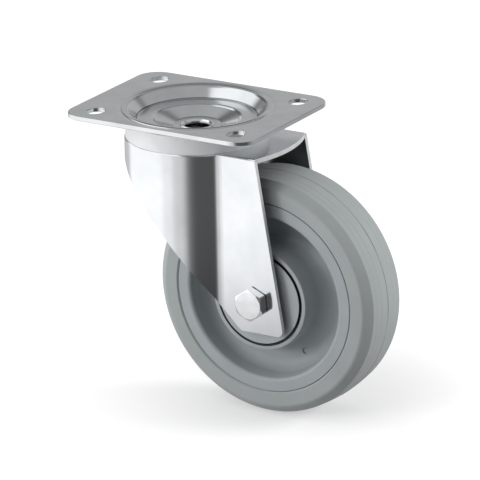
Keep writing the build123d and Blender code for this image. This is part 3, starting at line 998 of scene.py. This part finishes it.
# ---- swivel head --------------------------------------------------------------------------
@dataclass
class SwivelHead(SubAssembly):
    """King rivet, the two race cups and the balls between them.

    cup_foot gives inset, drop below the roof and rounding of the upper cup's outer foot, and
    lower_skin radius, height and bend of the lower cup's upper face. ball_rows has each row's
    name, number of balls, circle and height.
    """

    rivet_r: float = 9.6
    rivet_bore_r: float = 7.6
    rivet_lip_r: float = 11.2
    rivet_lip_top: float = -11.5
    rivet_foot_r: float = 12.8
    rivet_foot_top: float = -17.7
    rivet_foot: float = 2.5
    funnel_floor: float = -12.2
    cup_r: float = 46.6
    cup_sheet: float = 2.0
    cup_top: float = -6.2
    cup_floor: float = -15.58
    cup_floor_r: float = 27.0
    cup_foot: tuple[Triple, ...] = ((0.0, 0.54, 0.05), (0.35, 0.26, 0.0), (0.9, 0.04, 0.0), (1.4, 0.0, 0.0))
    lower_skin: tuple[Triple, ...] = (
        (9.65, -15.2, 0.0), (17.0, -15.2, -1.0), (18.5, -27.09, 1.0), (32.755, -27.09, 1.0),
        (34.255, -23.89, 0.0))
    lower_sheet: float = 2.5
    bend_steps: int = 8
    ball_r: float = 3.175
    ball_rows: tuple[tuple[str, int, float, float], ...] = (
        ("upper", 8, 41.345, -12.32), ("lower", 6, 26.5, -23.83))

    def king_rivet(self) -> list[Point]:
        """Outline of the hollow rivet, its lip rolled over the funnel's floor.

        Returns:
            Radius and height of each point.
        """
        lip, foot = self.rivet_lip_top, self.rivet_foot_top
        return rounded([
            (self.rivet_bore_r, foot - self.rivet_foot, 0.3), (self.rivet_bore_r, lip, 2.9),
            (self.rivet_lip_r, lip, 0.6), (self.rivet_lip_r, self.funnel_floor, 0.05),
            (self.rivet_r, self.funnel_floor, 0.0), (self.rivet_r, foot, 0.0),
            (self.rivet_foot_r, foot, 0.2), (self.rivet_foot_r, foot - self.rivet_foot, 0.8)],
            self.bend_steps)

    def upper_cup(self) -> list[Point]:
        """Outline of the cup on the fork's roof.

        Returns:
            Radius and height of each point.
        """
        inner = self.cup_r - self.cup_sheet
        foot = [(self.cup_r - inset, ROOF - drop, radius) for inset, drop, radius in self.cup_foot]
        return rounded([
            (inner, self.cup_top, 0.3), (self.cup_r, self.cup_top, 0.3), *foot,
            (self.cup_floor_r, ROOF, 0.1), (self.cup_floor_r, self.cup_floor, 0.3),
            (inner, self.cup_floor, 1.2)], self.bend_steps)

    def ball_mesh(self) -> bpy.types.Mesh:
        """One ball.

        Returns:
            Its mesh.
        """
        work = bmesh.new()
        bmesh.ops.create_uvsphere(work, u_segments=32, v_segments=16, radius=self.ball_r * MM)
        return mesh_from(work, "ball")

    def make(self) -> None:
        """Build, dress and fit the head's pieces."""
        lower_cup = sheet_outline(self.lower_skin, self.lower_sheet, self.bend_steps)
        rivet = self.shop.turn("hollow_king_rivet", self.king_rivet(), SWIVEL, ZINC_RIVET)
        ring = self.shop.turn("upper_race_ring", self.upper_cup(), SWIVEL, ZINC_SATIN, steps=240)
        dish = self.shop.turn("lower_race_dish", lower_cup, SWIVEL, ZINC_SATIN, steps=200)
        self.fit(rivet, "plate", "zinc_plated_bolt", "king_rivet")
        self.fit(ring, "fork", "zinc_plated_sheet", "upper_race_cup")
        self.fit(dish, "plate", "zinc_plated_sheet", "lower_race_cup")
        rows = [self.shop.repeat(f"{label}_balls", self.ball_mesh(), count, circle_mm,
                                 Spindle(ORIGIN, (0.0, 0.0, height)))
                for label, count, circle_mm, height in self.ball_rows]
        balls = smooth(join("race_balls", rows), BEARING_STEEL)
        self.fit(balls, "ball_sets", "bearing_steel", "swivel_balls")


# ---- fork ---------------------------------------------------------------------------------
@dataclass
class Fork(SubAssembly):
    """Pressed fork: roof, round front wall and two cheeks out of one sheet.

    The front wall's lower edge sweeps through the three (Y, Z) points of sweep.
    """

    sheet: float = 3.0
    drum_r: float = 47.2
    cheek_x: float = 33.0
    bend_r: float = 2.0
    crease_r: float = 12.0
    bottom: float = -134.0
    sweep: tuple[Point, Point, Point] = ((47.2, -25.5), (0.0, -72.0), (-35.0, -119.0))
    toe_y: float = -50.0
    heel_y: float = -62.0
    heel_slope: float = 0.168
    bulge: float = 6.0
    corner_r: float = 4.0
    hole_r: float = 20.5
    axle_hole_r: float = 6.3
    edge_r: float = 0.45
    bend_rows: int = 8
    drum_steps: int = 150
    crease_steps: int = 14
    corner_steps: int = 10
    bow_steps: int = 24
    hole_steps: int = 96
    axle_hole_steps: int = 48

    def sweep_circle(self) -> Triple:
        """The circle of the swept lower edge.

        Returns:
            Its centre's Y and Z, and its radius.
        """
        (ax, ay), (bx, by), (cx, cy) = self.sweep
        d = 2 * (ax * (by - cy) + bx * (cy - ay) + cx * (ay - by))
        a2, b2, c2 = ax * ax + ay * ay, bx * bx + by * by, cx * cx + cy * cy
        y = (a2 * (by - cy) + b2 * (cy - ay) + c2 * (ay - by)) / d
        z = (a2 * (cx - bx) + b2 * (ax - cx) + c2 * (bx - ax)) / d
        return y, z, math.hypot(ax - y, ay - z)

    def lower_edge(self, y: float) -> float:
        """Height of the front wall's lower edge.

        Args:
            y: place along Y.

        Returns:
            The height there.
        """
        end_y, end_z = self.sweep[2]
        if y < end_y:
            return end_z + (self.bottom - end_z) * (end_y - y) / (end_y - self.toe_y)
        cy, cz, radius = self.sweep_circle()
        side = 1 if self.sweep[1][1] > cz else -1
        return cz + side * math.sqrt(max(0.0, radius ** 2 - (y - cy) ** 2))

    def rear(self, z: float) -> float:
        """Place along Y of the cheeks' rear edge at a height."""
        return self.heel_y + self.heel_slope * (z - ROOF)

    def plan(self) -> list[tuple[Vector, Vector]]:
        """Plan of the outer skin from the left crease round the front to the right one.

        Returns:
            Points and outward normals, in the XY plane.
        """
        reach, hub_x = self.drum_r + self.crease_r, self.cheek_x + self.crease_r
        hub = Vector((-hub_x, -math.sqrt(reach ** 2 - hub_x ** 2)))
        meet = math.degrees(math.atan2(-hub.y, hub_x))
        left = [(Vector(p), (hub - Vector(p)).normalized())
                for p in arc(hub, self.crease_r, 0, meet, self.crease_steps)]
        drum = [(Vector(p), Vector(p).normalized())
                for p in arc(ORIGIN[:2], self.drum_r, 180 + meet, -meet, self.drum_steps)]
        right = [(Vector((-p.x, p.y)), Vector((-n.x, n.y))) for p, n in reversed(left)]
        return left + drum[1:-1] + right

    def cheek_outline(self, start_y: float, top: float) -> list[Point]:
        """Outline of a cheek, as Y and Z.

        Args:
            start_y: where the crease ends.
            top: where the roof's bend starts.

        Returns:
            The outline from the toe round to the heel; the skin has the points between.
        """
        corners = [(start_y, top, 0.0), (start_y, self.lower_edge(start_y), 0.0),
                   (self.toe_y, self.bottom, self.corner_r),
                   (self.rear(self.bottom), self.bottom, self.corner_r), (self.rear(top), top, 0.0)]
        return rounded(corners, self.corner_steps)[2:-1]

    def rear_bow(self, corner: Vector) -> list[Point]:
        """Points of the roof's rear edge between its corners.

        Args:
            corner: the corner on +X.

        Returns:
            Points from right to left, ends left out.
        """
        half, rise = corner.x, self.bulge
        radius = (half ** 2 + rise ** 2) / (2 * rise)
        spread = math.degrees(math.asin(half / radius))
        centre = (0.0, corner.y - rise + radius)
        return arc(centre, radius, -90 + spread, -90 - spread, self.bow_steps)[1:-1]

    def build(self) -> Piece:
        """Make the outer skin; its thickness and broken edges come from modifiers.

        Returns:
            The open skin.
        """
        work, plan, top = Skin(), self.plan(), ROOF - self.bend_r
        foot = work.add((p.x, p.y, self.lower_edge(p.y)) for p, _ in plan)
        bends = []
        for inset, rise in arc((self.bend_r, 0.0), self.bend_r, 180, 90, self.bend_rows):
            z = top + rise
            ends = [(side * (self.cheek_x - inset), self.rear(z), z) for side in (-1, 1)]
            *row, first, last = work.add([(*(p - n * inset), z) for p, n in plan] + ends)
            bends.append([first, *row, last])
        work.band([foot, bends[0][1:-1]], closed=False)
        work.band(bends, closed=False)
        for side, end, crease in ((-1, 0, 1), (1, -1, -2)):
            x = side * self.cheek_x
            outline = work.add((x, y, z) for y, z in self.cheek_outline(plan[end][0].y, top))
            loop = [bends[0][crease], foot[end], *outline, bends[0][end]]
            hole = circle(AXLE_PLACE[1:], self.axle_hole_r, self.axle_hole_steps)
            work.fill([loop, work.add((x, y, z) for y, z in hole)], upright=True)
        bow = self.rear_bow(work.points[bends[-1][-1]])
        border = bends[-1] + work.add((x, y, ROOF) for x, y in bow)
        hole = circle(ORIGIN[:2], self.hole_r, self.hole_steps)
        work.fill([border, work.add((x, y, ROOF) for x, y in hole)])
        return work.piece("pressed_fork")

    def make(self) -> None:
        """Build, dress and fit the fork."""
        fork = self.build()
        front = fork.data.polygons[0]
        if Vector((*front.center.xy, 0.0)).dot(front.normal) < 0:
            fork.data.flip_normals()
        skins = (ZINC_SHEET, ZINC_INSIDE_PAINTED_SHADE, ZINC_EDGE)
        for finish in skins:
            fork.data.materials.append(finish.material())
        add_modifier(fork, "sheet", "SOLIDIFY", material_offset=1, material_offset_rim=2,
                     thickness=self.sheet * MM, offset=-1.0, use_even_offset=True,
                     use_quality_normals=True)
        add_modifier(fork, "broken edges", "BEVEL", width=self.edge_r * MM, segments=3,
                     limit_method="ANGLE", angle_limit=math.radians(50.0), use_clamp_overlap=True,
                     miter_outer="MITER_ARC")
        settle(fork)
        self.fit(smooth(fork, *skins), "fork", "zinc_plated_sheet", "fork")


# ---- axle ---------------------------------------------------------------------------------
@dataclass
class AxleBolt(SubAssembly):
    """Hexagon bolt through both cheeks, with the washer under its lock nut.

    The head's flat end reaches head_end of the way to its flats, and the chamfer round it falls
    at head_slope degrees. head_foot, head_break and head_blend break the head's lower edge, the
    chamfer's corner and the flat end's rim. thread_lands has half the width of a crest and of a
    root.
    """

    flats: float = 19.0
    corner_r: float = 10.75
    head: float = 7.5
    head_turn: float = 24.4
    head_end: float = 0.95
    head_slope: float = 30.0
    head_foot: float = 0.2
    head_break: float = 0.12
    head_blend: float = 0.3
    washer_face: Point = (8.7, 0.6)
    cheek_out: float = 33.0
    shank_r: float = 6.0
    shank_in_head: float = 0.5
    shank_point: float = 0.8
    pitch: float = 1.75
    thread_depth: float = 0.95
    thread_lands: Point = (0.1, 0.15)
    washer: float = 2.5
    washer_r: float = 12.0
    washer_bore_r: float = 6.3
    nut: float = 8.0
    collar: float = 4.0
    tail: float = 3.0
    steps: int = 144

    def hex_radius(self, angle: float) -> float:
        """Distance from the axis to the hexagon's side, its corners rounded off."""
        within = (angle - math.radians(self.head_turn)) % (math.pi / 3)
        return min(self.flats / 2 / math.cos(within - math.pi / 6), self.corner_r)

    def hex_head(self) -> Piece:
        """The head: chamfered at its free end, and standing on its round washer face.

        Returns:
            The undressed head.
        """
        top, slope = self.flats / 2 * self.head_end, math.tan(math.radians(self.head_slope))
        (seat_r, under), foot, corner = self.washer_face, self.head_foot, self.head_break
        angles = [math.tau * i / self.steps for i in range(self.steps)]
        sections = []
        for r in map(self.hex_radius, angles):
            high = self.head - max(0.0, r - top) * slope
            sections.append((
                (0.0, 0.0), (seat_r, 0.0), (seat_r, under), (r - foot, under), (r, under + foot),
                (r, high - corner), (r - corner, high), (top, self.head - corner / 2),
                (top - self.head_blend, self.head), (0.0, self.head)))
        work = Skin()
        _, y, z = AXLE_PLACE
        work.band([work.add((-self.cheek_out - out, y + r * math.cos(a), z + r * math.sin(a))
                            for a, (r, out) in zip(angles, ring)) for ring in zip(*sections)])
        return work.piece("bolt_head")

    def shank(self) -> Piece:
        """Plain shank inside the tube, with a rolled thread where the nut sits.

        Returns:
            The shank, dressed.
        """
        start, place = -self.cheek_out - self.shank_in_head, self.cheek_out + self.washer
        end = place + self.nut + self.collar + self.tail
        crest, root = self.shank_r, self.shank_r - self.thread_depth
        crest_half, root_half = self.thread_lands
        outline: list[Point] = [(0.0, start), (crest, start), (crest, place)]
        while place + self.pitch < end - self.shank_point:
            middle, after = place + self.pitch / 2, place + self.pitch
            outline += [(crest, place + crest_half), (root, middle - root_half),
                        (root, middle + root_half), (crest, after - crest_half)]
            place = after
        outline += [(crest, end - self.shank_point), (crest - self.shank_point, end), (0.0, end)]
        return self.shop.turn("bolt_shank", outline, AXLE, ZINC_BOLT, steps=64)

    def make(self) -> None:
        """Build, dress and fit the bolt and the washer."""
        bolt = join("hexagon_axle_bolt", [smooth(self.hex_head(), ZINC_HEAD), self.shank()])
        self.fit(smooth(bolt, ZINC_HEAD), "fork", "zinc_plated_bolt", "axle_bolt")
        inside, out = self.cheek_out, self.cheek_out + self.washer
        washer = self.shop.turn("axle_washer", rounded([
            (self.washer_bore_r, inside, 0.1), (self.washer_r, inside, 0.3),
            (self.washer_r, out, 0.6), (self.washer_bore_r, out, 0.2)], steps=5),
            AXLE, ZINC_BOLT, steps=96)
        self.fit(washer, "fork", "zinc_plated_bolt", "nut_washer")


# ---- wheel --------------------------------------------------------------------------------
@dataclass
class Wheel(SubAssembly):
    """Nylon rim, rubber tyre and the thread guards beside its hub.

    tyre_wall gives radius, distance from the middle and rounding of the tyre's corners, from
    the tread's edge to the bed. The tyre is tyre_gap wider inside than the rim it sits on.
    """

    crown_r: float = 79.8
    crown_steps: int = 24
    seam: tuple[Point, Point] = ((79.91, 0.12), (79.8, 0.35))
    tyre_wall: tuple[Triple, ...] = (
        (78.8, 15.3, 0.0), (78.7, 16.7, 0.7), (73.8, 22.0, 3.5), (64.8, 22.0, 0.5),
        (63.9, 21.0, 0.3), (63.8, 15.0, 0.2), (59.5, 15.0, 0.2))
    tyre_gap: float = 0.15
    side_r: float = 63.8
    seat_r: float = 59.5
    seat_half: float = 15.0
    rim_half: float = 21.5
    flange_r: float = 55.0
    lip_r: float = 2.5
    web_half: float = 5.0
    web_fillet: float = 8.0
    draft: float = 2.0
    hub_half: float = 26.0
    hub_r: float = 34.0
    mouth_r: float = 30.7
    mouth_depth: float = 4.5
    sleeve_r: float = 16.6
    dimple_r: float = 2.2
    dimple_depth: float = 0.9
    dimple_circle_r: float = 43.9
    dimple_angle: float = -60.9
    guard_r: float = 29.8
    guard_face: float = 26.6
    guard_sheet: float = 1.8
    guard_dish: float = 1.2
    tube_r: float = 10.0
    collar_r: float = 13.5
    cheek_in: float = 30.0
    steps: int = 288

    def tyre_outline(self) -> list[Point]:
        """Outline of the tyre: crown with its mould seam, shoulders, walls and bed.

        Returns:
            Radius and place on the axle of each point.
        """
        edge_r, half, _ = self.tyre_wall[0]
        rise = self.crown_r - edge_r
        radius = (half ** 2 + rise ** 2) / (2 * rise)
        spread = math.degrees(math.asin(half / radius))
        crown = arc((self.crown_r - radius, 0.0), radius, -spread, spread, self.crown_steps)
        seam_half = self.seam[-1][1]
        left = [point for point in crown if point[1] < -seam_half]
        right = [point for point in crown if point[1] > seam_half]
        wall = rounded([*self.tyre_wall, (self.seat_r, 0.0, 0.0)], steps=8)[1:-1]
        return left + mirrored(self.seam) + list(self.seam) + right + wall + mirrored(wall)

    def rim_outline(self) -> list[Point]:
        """Outline of the rim moulding, from the bed round the right side to the bore and back.

        Returns:
            Radius and place on the axle of each point.
        """
        mouth, edge = self.hub_half - self.mouth_depth, self.side_r - self.tyre_gap
        right = rounded([
            (self.seat_r, 0.0, 0.0), (self.seat_r, self.seat_half, 0.0), (edge, self.seat_half, 0.0),
            (edge, self.rim_half, 0.6), (self.flange_r, self.rim_half, self.lip_r),
            (self.flange_r - self.draft, self.web_half, self.web_fillet),
            (self.hub_r + self.draft, self.web_half, self.web_fillet),
            (self.hub_r, self.hub_half, 0.7), (self.mouth_r, self.hub_half, 0.35),
            (self.mouth_r, mouth, 0.3), (self.sleeve_r, mouth, 0.2), (self.sleeve_r, 0.0, 0.0)],
            steps=12)
        return right[1:-1] + mirrored(right[1:-1])

    def guard_outline(self, side: int) -> list[Point]:
        """Outline of a thread guard.

        Args:
            side: -1 for the left one, 1 for the right one.

        Returns:
            The outline.
        """
        back, floor = self.guard_face - self.guard_sheet, self.guard_face - self.guard_dish
        points = rounded([
            (self.guard_r, back, 0.3), (self.tube_r, back - self.guard_dish, 0.0),
            (self.tube_r, self.cheek_in, 0.0), (self.collar_r, self.cheek_in, 0.3),
            (self.collar_r, floor, 0.9), (self.guard_r, self.guard_face, 0.5)], steps=6)
        return [(r, side * x) for r, x in points]

    def dimple(self, rim: Piece) -> None:
        """Sink the ejector mark into both faces of the web.

        Args:
            rim: the rim's object.
        """
        length, radius = 4.2, self.dimple_r * MM
        work = bmesh.new()
        turn = Matrix.Rotation(math.radians(180 - self.dimple_angle), 4, "X")
        for side in (-1, 1):
            out = Vector((side * (self.web_half - self.dimple_depth + length / 2),
                          self.dimple_circle_r, 0.0))
            place = Matrix.Translation(Vector(AXLE_PLACE) * MM) @ turn @ Matrix.Translation(out * MM)
            bmesh.ops.create_cone(work, cap_ends=True, segments=40, radius1=radius, radius2=radius,
                                  depth=length * MM, matrix=place @ Matrix.Rotation(math.pi / 2, 4, "Y"))
        mesh = mesh_from(work, "ejector marks")
        cutter = new_object("ejector marks", mesh)
        add_modifier(rim, "ejector marks", "BOOLEAN", object=cutter, operation="DIFFERENCE",
                     solver="EXACT")
        settle(rim)
        bpy.data.objects.remove(cutter)
        bpy.data.meshes.remove(mesh)

    def make(self) -> None:
        """Build, dress and fit the wheel's pieces."""
        tyre = self.shop.turn("rubber_tyre", self.tyre_outline(), AXLE, GREY_RUBBER, self.steps)
        self.fit(tyre, "wheel", "grey_rubber", "tyre")
        rim = self.shop.turn("nylon_rim", self.rim_outline(), AXLE, GREY_NYLON, self.steps)
        self.dimple(rim)
        self.fit(smooth(rim, GREY_NYLON), "wheel", "grey_nylon", "wheel_rim")
        for label, side in (("left", -1), ("right", 1)):
            guard = self.shop.turn(f"guard_disc_{label}", self.guard_outline(side), AXLE,
                                   GUARD_NYLON, steps=200)
            self.fit(guard, "fork", "guard_plastic", f"thread_guard_{label}")


@dataclass
class WheelBearing(SubAssembly):
    """Rollers between the axle tube and the hub's sleeve."""

    roller_r: float = 2.5
    roller_length: float = 36.0
    chamfer: float = 0.3
    rollers: int = 8
    circle_r: float = 12.55

    def roller_mesh(self) -> bpy.types.Mesh:
        """One roller, its ends chamfered, lying along Z.

        Returns:
            Its mesh.
        """
        level = 0.01 * MM
        work = bmesh.new()
        bmesh.ops.create_cone(work, cap_ends=True, segments=32, radius1=self.roller_r * MM,
                              radius2=self.roller_r * MM, depth=self.roller_length * MM)
        rims = [e for e in work.edges if abs(e.verts[0].co.z - e.verts[1].co.z) < level]
        bmesh.ops.bevel(work, geom=rims, offset=self.chamfer * MM, segments=2, affect="EDGES")
        return mesh_from(work, "roller")

    def make(self) -> None:
        """Build, dress and fit the rollers."""
        rollers = self.shop.repeat("bearing_rollers", self.roller_mesh(), self.rollers, self.circle_r, AXLE)
        self.fit(rollers, "rollers", "bearing_steel", "wheel_rollers")


CARRIED_OVER: dict[str, Finish] = {
    "upper_ball_cage": CAGE_NYLON,
    "lower_ball_cage": CAGE_NYLON,
    "roller_cage": CAGE_NYLON,
    "axle_nut": ZINC_BOLT,
    "nut_insert": INSERT_NYLON,
    "axle_tube": TUBE_STEEL,
    "hub_sleeve": TUBE_STEEL,
    "thrust_washer_left": TUBE_STEEL,
    "thrust_washer_right": TUBE_STEEL,
}


def dress_frame(nodes: dict[str, Piece]) -> None:
    """Give the frame's own pieces their finishes.

    Args:
        nodes: the frame's objects by name.
    """
    for name, finish in CARRIED_OVER.items():
        mesh = nodes[name].data
        if not mesh.materials:
            mesh.materials.append(finish.material())
        for index in range(len(mesh.materials)):
            mesh.materials[index] = finish.material()
        log.info("%s: carried over in %s", name, finish.name)


# ---- studio -------------------------------------------------------------------------------
@dataclass(frozen=True)
class Card:
    """A soft-edged card that hangs round the castor and shines or stays dark.

    All but light are in degrees: azimuth runs from +X towards +Y, low and high are heights
    above the horizon, soft and fade are half the width of the blurred upright and level edges.
    """

    azimuth: float
    half_width: float
    low: float
    high: float
    light: float
    soft: float = 6.0
    fade: float = 4.0

    def share(self, tree: Tree, level: Node, rise: Socket) -> Node:
        """How much of the card shows in each direction.

        Args:
            tree: the world's tree.
            level: the direction, laid flat.
            rise: the direction's height.

        Returns:
            A node that gives 0 outside the card and 1 on it.
        """
        facing = add_node(tree, "ShaderNodeVectorMath", (level, direction(self.azimuth)),
                          operation="DOT_PRODUCT").outputs["Value"]
        edges = (math.cos(math.radians(self.half_width + side * self.soft)) for side in (1, -1))
        share = add_node(tree, "ShaderNodeMapRange", (facing, *edges, 0.0, 1.0),
                         interpolation_type=Blend.SMOOTH)
        for edge, ends in ((self.low, (0.0, 1.0)), (self.high, (1.0, 0.0))):
            edges = (math.sin(math.radians(edge + side * self.fade)) for side in (-1, 1))
            within = add_node(tree, "ShaderNodeMapRange", (rise, *edges, *ends),
                              interpolation_type=Blend.SMOOTH)
            share = add_node(tree, "ShaderNodeMath", (share, within), operation="MULTIPLY")
        return share


@dataclass(frozen=True)
class Lamp:
    """An area lamp that shines on the castor and isn't mirrored in it.

    azimuth and height are in degrees, distance and size in metres, power in watts. aim is the
    place it shines at, in metres.
    """

    name: str
    azimuth: float
    height: float
    distance: float
    size: float
    watts: float
    aim: Triple = (0.0, -0.03, -0.1)

    def hang(self) -> None:
        """Put the lamp in the scene."""
        lamp = bpy.data.lights.new(self.name, "AREA")
        lamp.shape = "DISK"
        lamp.size = self.size
        lamp.energy = self.watts
        holder = new_object(self.name, lamp)
        way = direction(self.azimuth, self.height)
        holder.location = Vector(self.aim) + way * self.distance
        holder.rotation_euler = way.to_track_quat("Z", "Y").to_euler()
        holder.visible_glossy = False


@dataclass
class Studio:
    """White floor, a grey tent and the cards in it; metal mirrors them and all else is lit by them.

    tent and ground are brightnesses above and below the horizon, and ground_edge the heights, in
    degrees, between which one turns into the other. On the floor, shade and glow give the
    distances from the wheel, in metres, over which its first value turns into its second.
    """

    floor_z: float
    floor_half: float = 6.0
    tent: float = 0.48
    ground: float = 1.05
    ground_edge: Point = (-32.0, -22.0)
    shade: tuple[float, float, float, float] = (0.12, 0.43, 0.46, 1.0)
    shade_shift: float = 25.0
    shadow_share: float = 0.6
    glow: tuple[float, float, float, float] = (0.03, 0.16, 0.95, 1.5)
    cards: tuple[Card, ...] = (
        Card(350.0, 34.0, -28.0, 27.0, 0.56, 14.0),
        Card(310.0, 36.0, -28.0, 24.0, 0.46, 10.0),
        Card(264.0, 20.0, -28.0, 12.0, 0.34),
        Card(66.0, 21.0, 14.0, 36.0, 0.13, 5.0),
        Card(62.0, 18.0, -6.0, 14.0, 0.30, 5.0),
        Card(72.0, 20.0, -30.0, -9.0, 0.64, 8.0),
        Card(16.0, 32.0, 31.0, 41.0, 0.22, 5.0, 2.5),
        Card(335.0, 17.0, 24.0, 32.0, 0.27, 5.0, 2.5),
        Card(114.0, 59.0, 36.0, 67.0, 1.32, 4.0, 3.0),
        Card(132.0, 55.0, -28.0, 44.0, 1.24, 9.0),
        Card(166.0, 10.0, -28.0, 30.0, 1.03, 8.0),
        Card(182.0, 8.0, -28.0, 10.0, 0.76, 8.0),
        Card(228.5, 32.5, -28.0, 8.0, 0.09, 14.0, 4.0),
        Card(230.0, 44.0, 3.0, 52.0, 0.20, 10.0, 5.0))
    lamps: tuple[Lamp, ...] = (
        Lamp("side light", 150.0, 12.0, 0.8, 0.3, 2.15),
        Lamp("back light", 300.0, 20.0, 1.6, 0.8, 20.0))

    def surroundings(self, tree: Tree) -> Node:
        """How bright the studio is in each direction.

        Args:
            tree: the world's tree.

        Returns:
            The node that gives the brightness.
        """
        way = add_node(tree, "ShaderNodeTexCoord").outputs["Generated"]
        parts = add_node(tree, "ShaderNodeSeparateXYZ", (way,)).outputs
        flat = add_node(tree, "ShaderNodeCombineXYZ", (parts["X"], parts["Y"]))
        level = add_node(tree, "ShaderNodeVectorMath", (flat,), operation="NORMALIZE")
        edges = (math.sin(math.radians(height)) for height in self.ground_edge)
        light = add_node(tree, "ShaderNodeMapRange", (parts["Z"], *edges, self.ground, self.tent),
                         interpolation_type=Blend.SMOOTH)
        for card in self.cards:
            share = card.share(tree, level, parts["Z"])
            light = add_node(tree, "ShaderNodeMapRange", (share, 0.0, 1.0, light, card.light))
        return light

    def light_world(self) -> None:
        """White to the camera, tent and cards to all else."""
        world = bpy.data.worlds.new("studio")
        bpy.context.scene.world = world
        world.use_nodes = True
        tree = world.node_tree
        tree.nodes.clear()
        rays = add_node(tree, "ShaderNodeLightPath").outputs
        around, white = (add_node(tree, "ShaderNodeBackground", (linear("#ffffff"), strength))
                         for strength in (self.surroundings(tree), 1.0))
        seen = add_node(tree, "ShaderNodeMixShader", (rays["Is Camera Ray"], around, white))
        add_node(tree, "ShaderNodeOutputWorld", (seen,))

    def lay_floor(self) -> None:
        """A white floor with a faint shadow, partly cast and partly painted: its glow is dimmer near the
        wheel. Light passes up through it, less of it near the castor, a painted shade in what the castor
        mirrors and is lit by from below.
        """
        mesh = bpy.data.meshes.new("floor")
        square = ((-1, -1), (1, -1), (1, 1), (-1, 1))
        mesh.from_pydata([(x * self.floor_half, y * self.floor_half, self.floor_z) for x, y in square],
                         [], [range(len(square))])
        floor = new_object("floor", mesh)
        material = bpy.data.materials.new("matt_white_card")
        material.use_nodes = True
        tree = material.node_tree
        tree.nodes.clear()
        card = add_node(tree, "ShaderNodeBsdfDiffuse", {"Color": linear("#fafafa")})
        place = add_node(tree, "ShaderNodeTexCoord").outputs["Object"]
        middle = (Vector(AXLE_PLACE) + Vector((self.shade_shift, 0.0, 0.0))) * MM
        away = add_node(tree, "ShaderNodeVectorMath", (place, middle), operation="SUBTRACT")
        level = add_node(tree, "ShaderNodeVectorMath", (away, (1.0, 1.0, 0.0)), operation="MULTIPLY")
        far = add_node(tree, "ShaderNodeVectorMath", (level,), operation="LENGTH").outputs["Value"]
        # glow's dip near the wheel is a painted shadow; shade dims what passes up near the castor, a
        # painted shade
        shade, glow = (add_node(tree, "ShaderNodeMapRange", (far, *change), interpolation_type=Blend.SMOOTH)
                       for change in (self.shade, self.glow))
        clear = add_node(tree, "ShaderNodeBsdfTransparent", {"Color": shade})
        shine = add_node(tree, "ShaderNodeEmission", (linear("#ffffff"), glow))
        pale = add_node(tree, "ShaderNodeMixShader", (self.shadow_share, shine, card))
        rays = add_node(tree, "ShaderNodeLightPath").outputs
        both = add_node(tree, "ShaderNodeMixShader", (rays["Is Camera Ray"], clear, pale))
        add_node(tree, "ShaderNodeOutputMaterial", (both,))
        mesh.materials.append(material)
        floor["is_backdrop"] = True

    def set_up(self) -> None:
        """Light the world, lay the floor and hang the lamps."""
        self.light_world()
        self.lay_floor()
        for lamp in self.lamps:
            lamp.hang()


@dataclass(frozen=True)
class Viewpoint:
    """A camera by its turn about the castor, its lens, and where the origin falls in its frame.

    Turns are in degrees, and distance, across, up and the clipped range in metres.
    """

    azimuth: float = 211.294
    height: float = 19.023
    roll: float = -1.074
    distance: float = 2.978783
    across: float = -0.027687
    up: float = 0.086001
    focal_mm: float = 347.76
    sensor_mm: float = 36.0
    clip: Point = (0.05, 50.0)

    def place(self) -> None:
        """Create the camera and make it the scene's."""
        back, right = direction(self.azimuth, self.height), direction(self.azimuth + 90.0)
        spin = Matrix.Rotation(math.radians(self.roll), 3, back)
        right, over = spin @ right, spin @ back.cross(right)
        lens = bpy.data.cameras.new("camera")
        lens.sensor_width = self.sensor_mm
        lens.lens = self.focal_mm
        lens.clip_start, lens.clip_end = self.clip
        holder = new_object("camera", lens)
        turn = Matrix((right, over, back)).transposed().to_4x4()
        spot = back * self.distance - right * self.across - over * self.up
        holder.matrix_world = Matrix.Translation(spot) @ turn
        bpy.context.scene.camera = holder


def corners(box: Iterable[Sequence[float]]) -> list[list[float]]:
    """A box as plain lists of numbers."""
    return [[float(v) for v in corner] for corner in box]


def main() -> None:
    """Build the castor's sub-assemblies in order, then the studio and the camera."""
    logging.basicConfig(level=logging.INFO, format="%(name)s: %(message)s")
    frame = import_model()
    cad_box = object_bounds()
    shop = Workshop()
    for assembly in (MountingPlate, SwivelHead, Fork, AxleBolt, Wheel, WheelBearing):
        assembly(shop).make()
        log.info("%s is built", assembly.__name__)
    dress_frame(frame["nodes"])
    Studio(floor_z=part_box("tyre")[0].z).set_up()
    Viewpoint().place()
    bpy.context.scene.view_settings.view_transform = "Standard"
    {"cad": corners(cad_box), "visual": corners(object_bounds())}


if __name__ == "__main__":
    main()
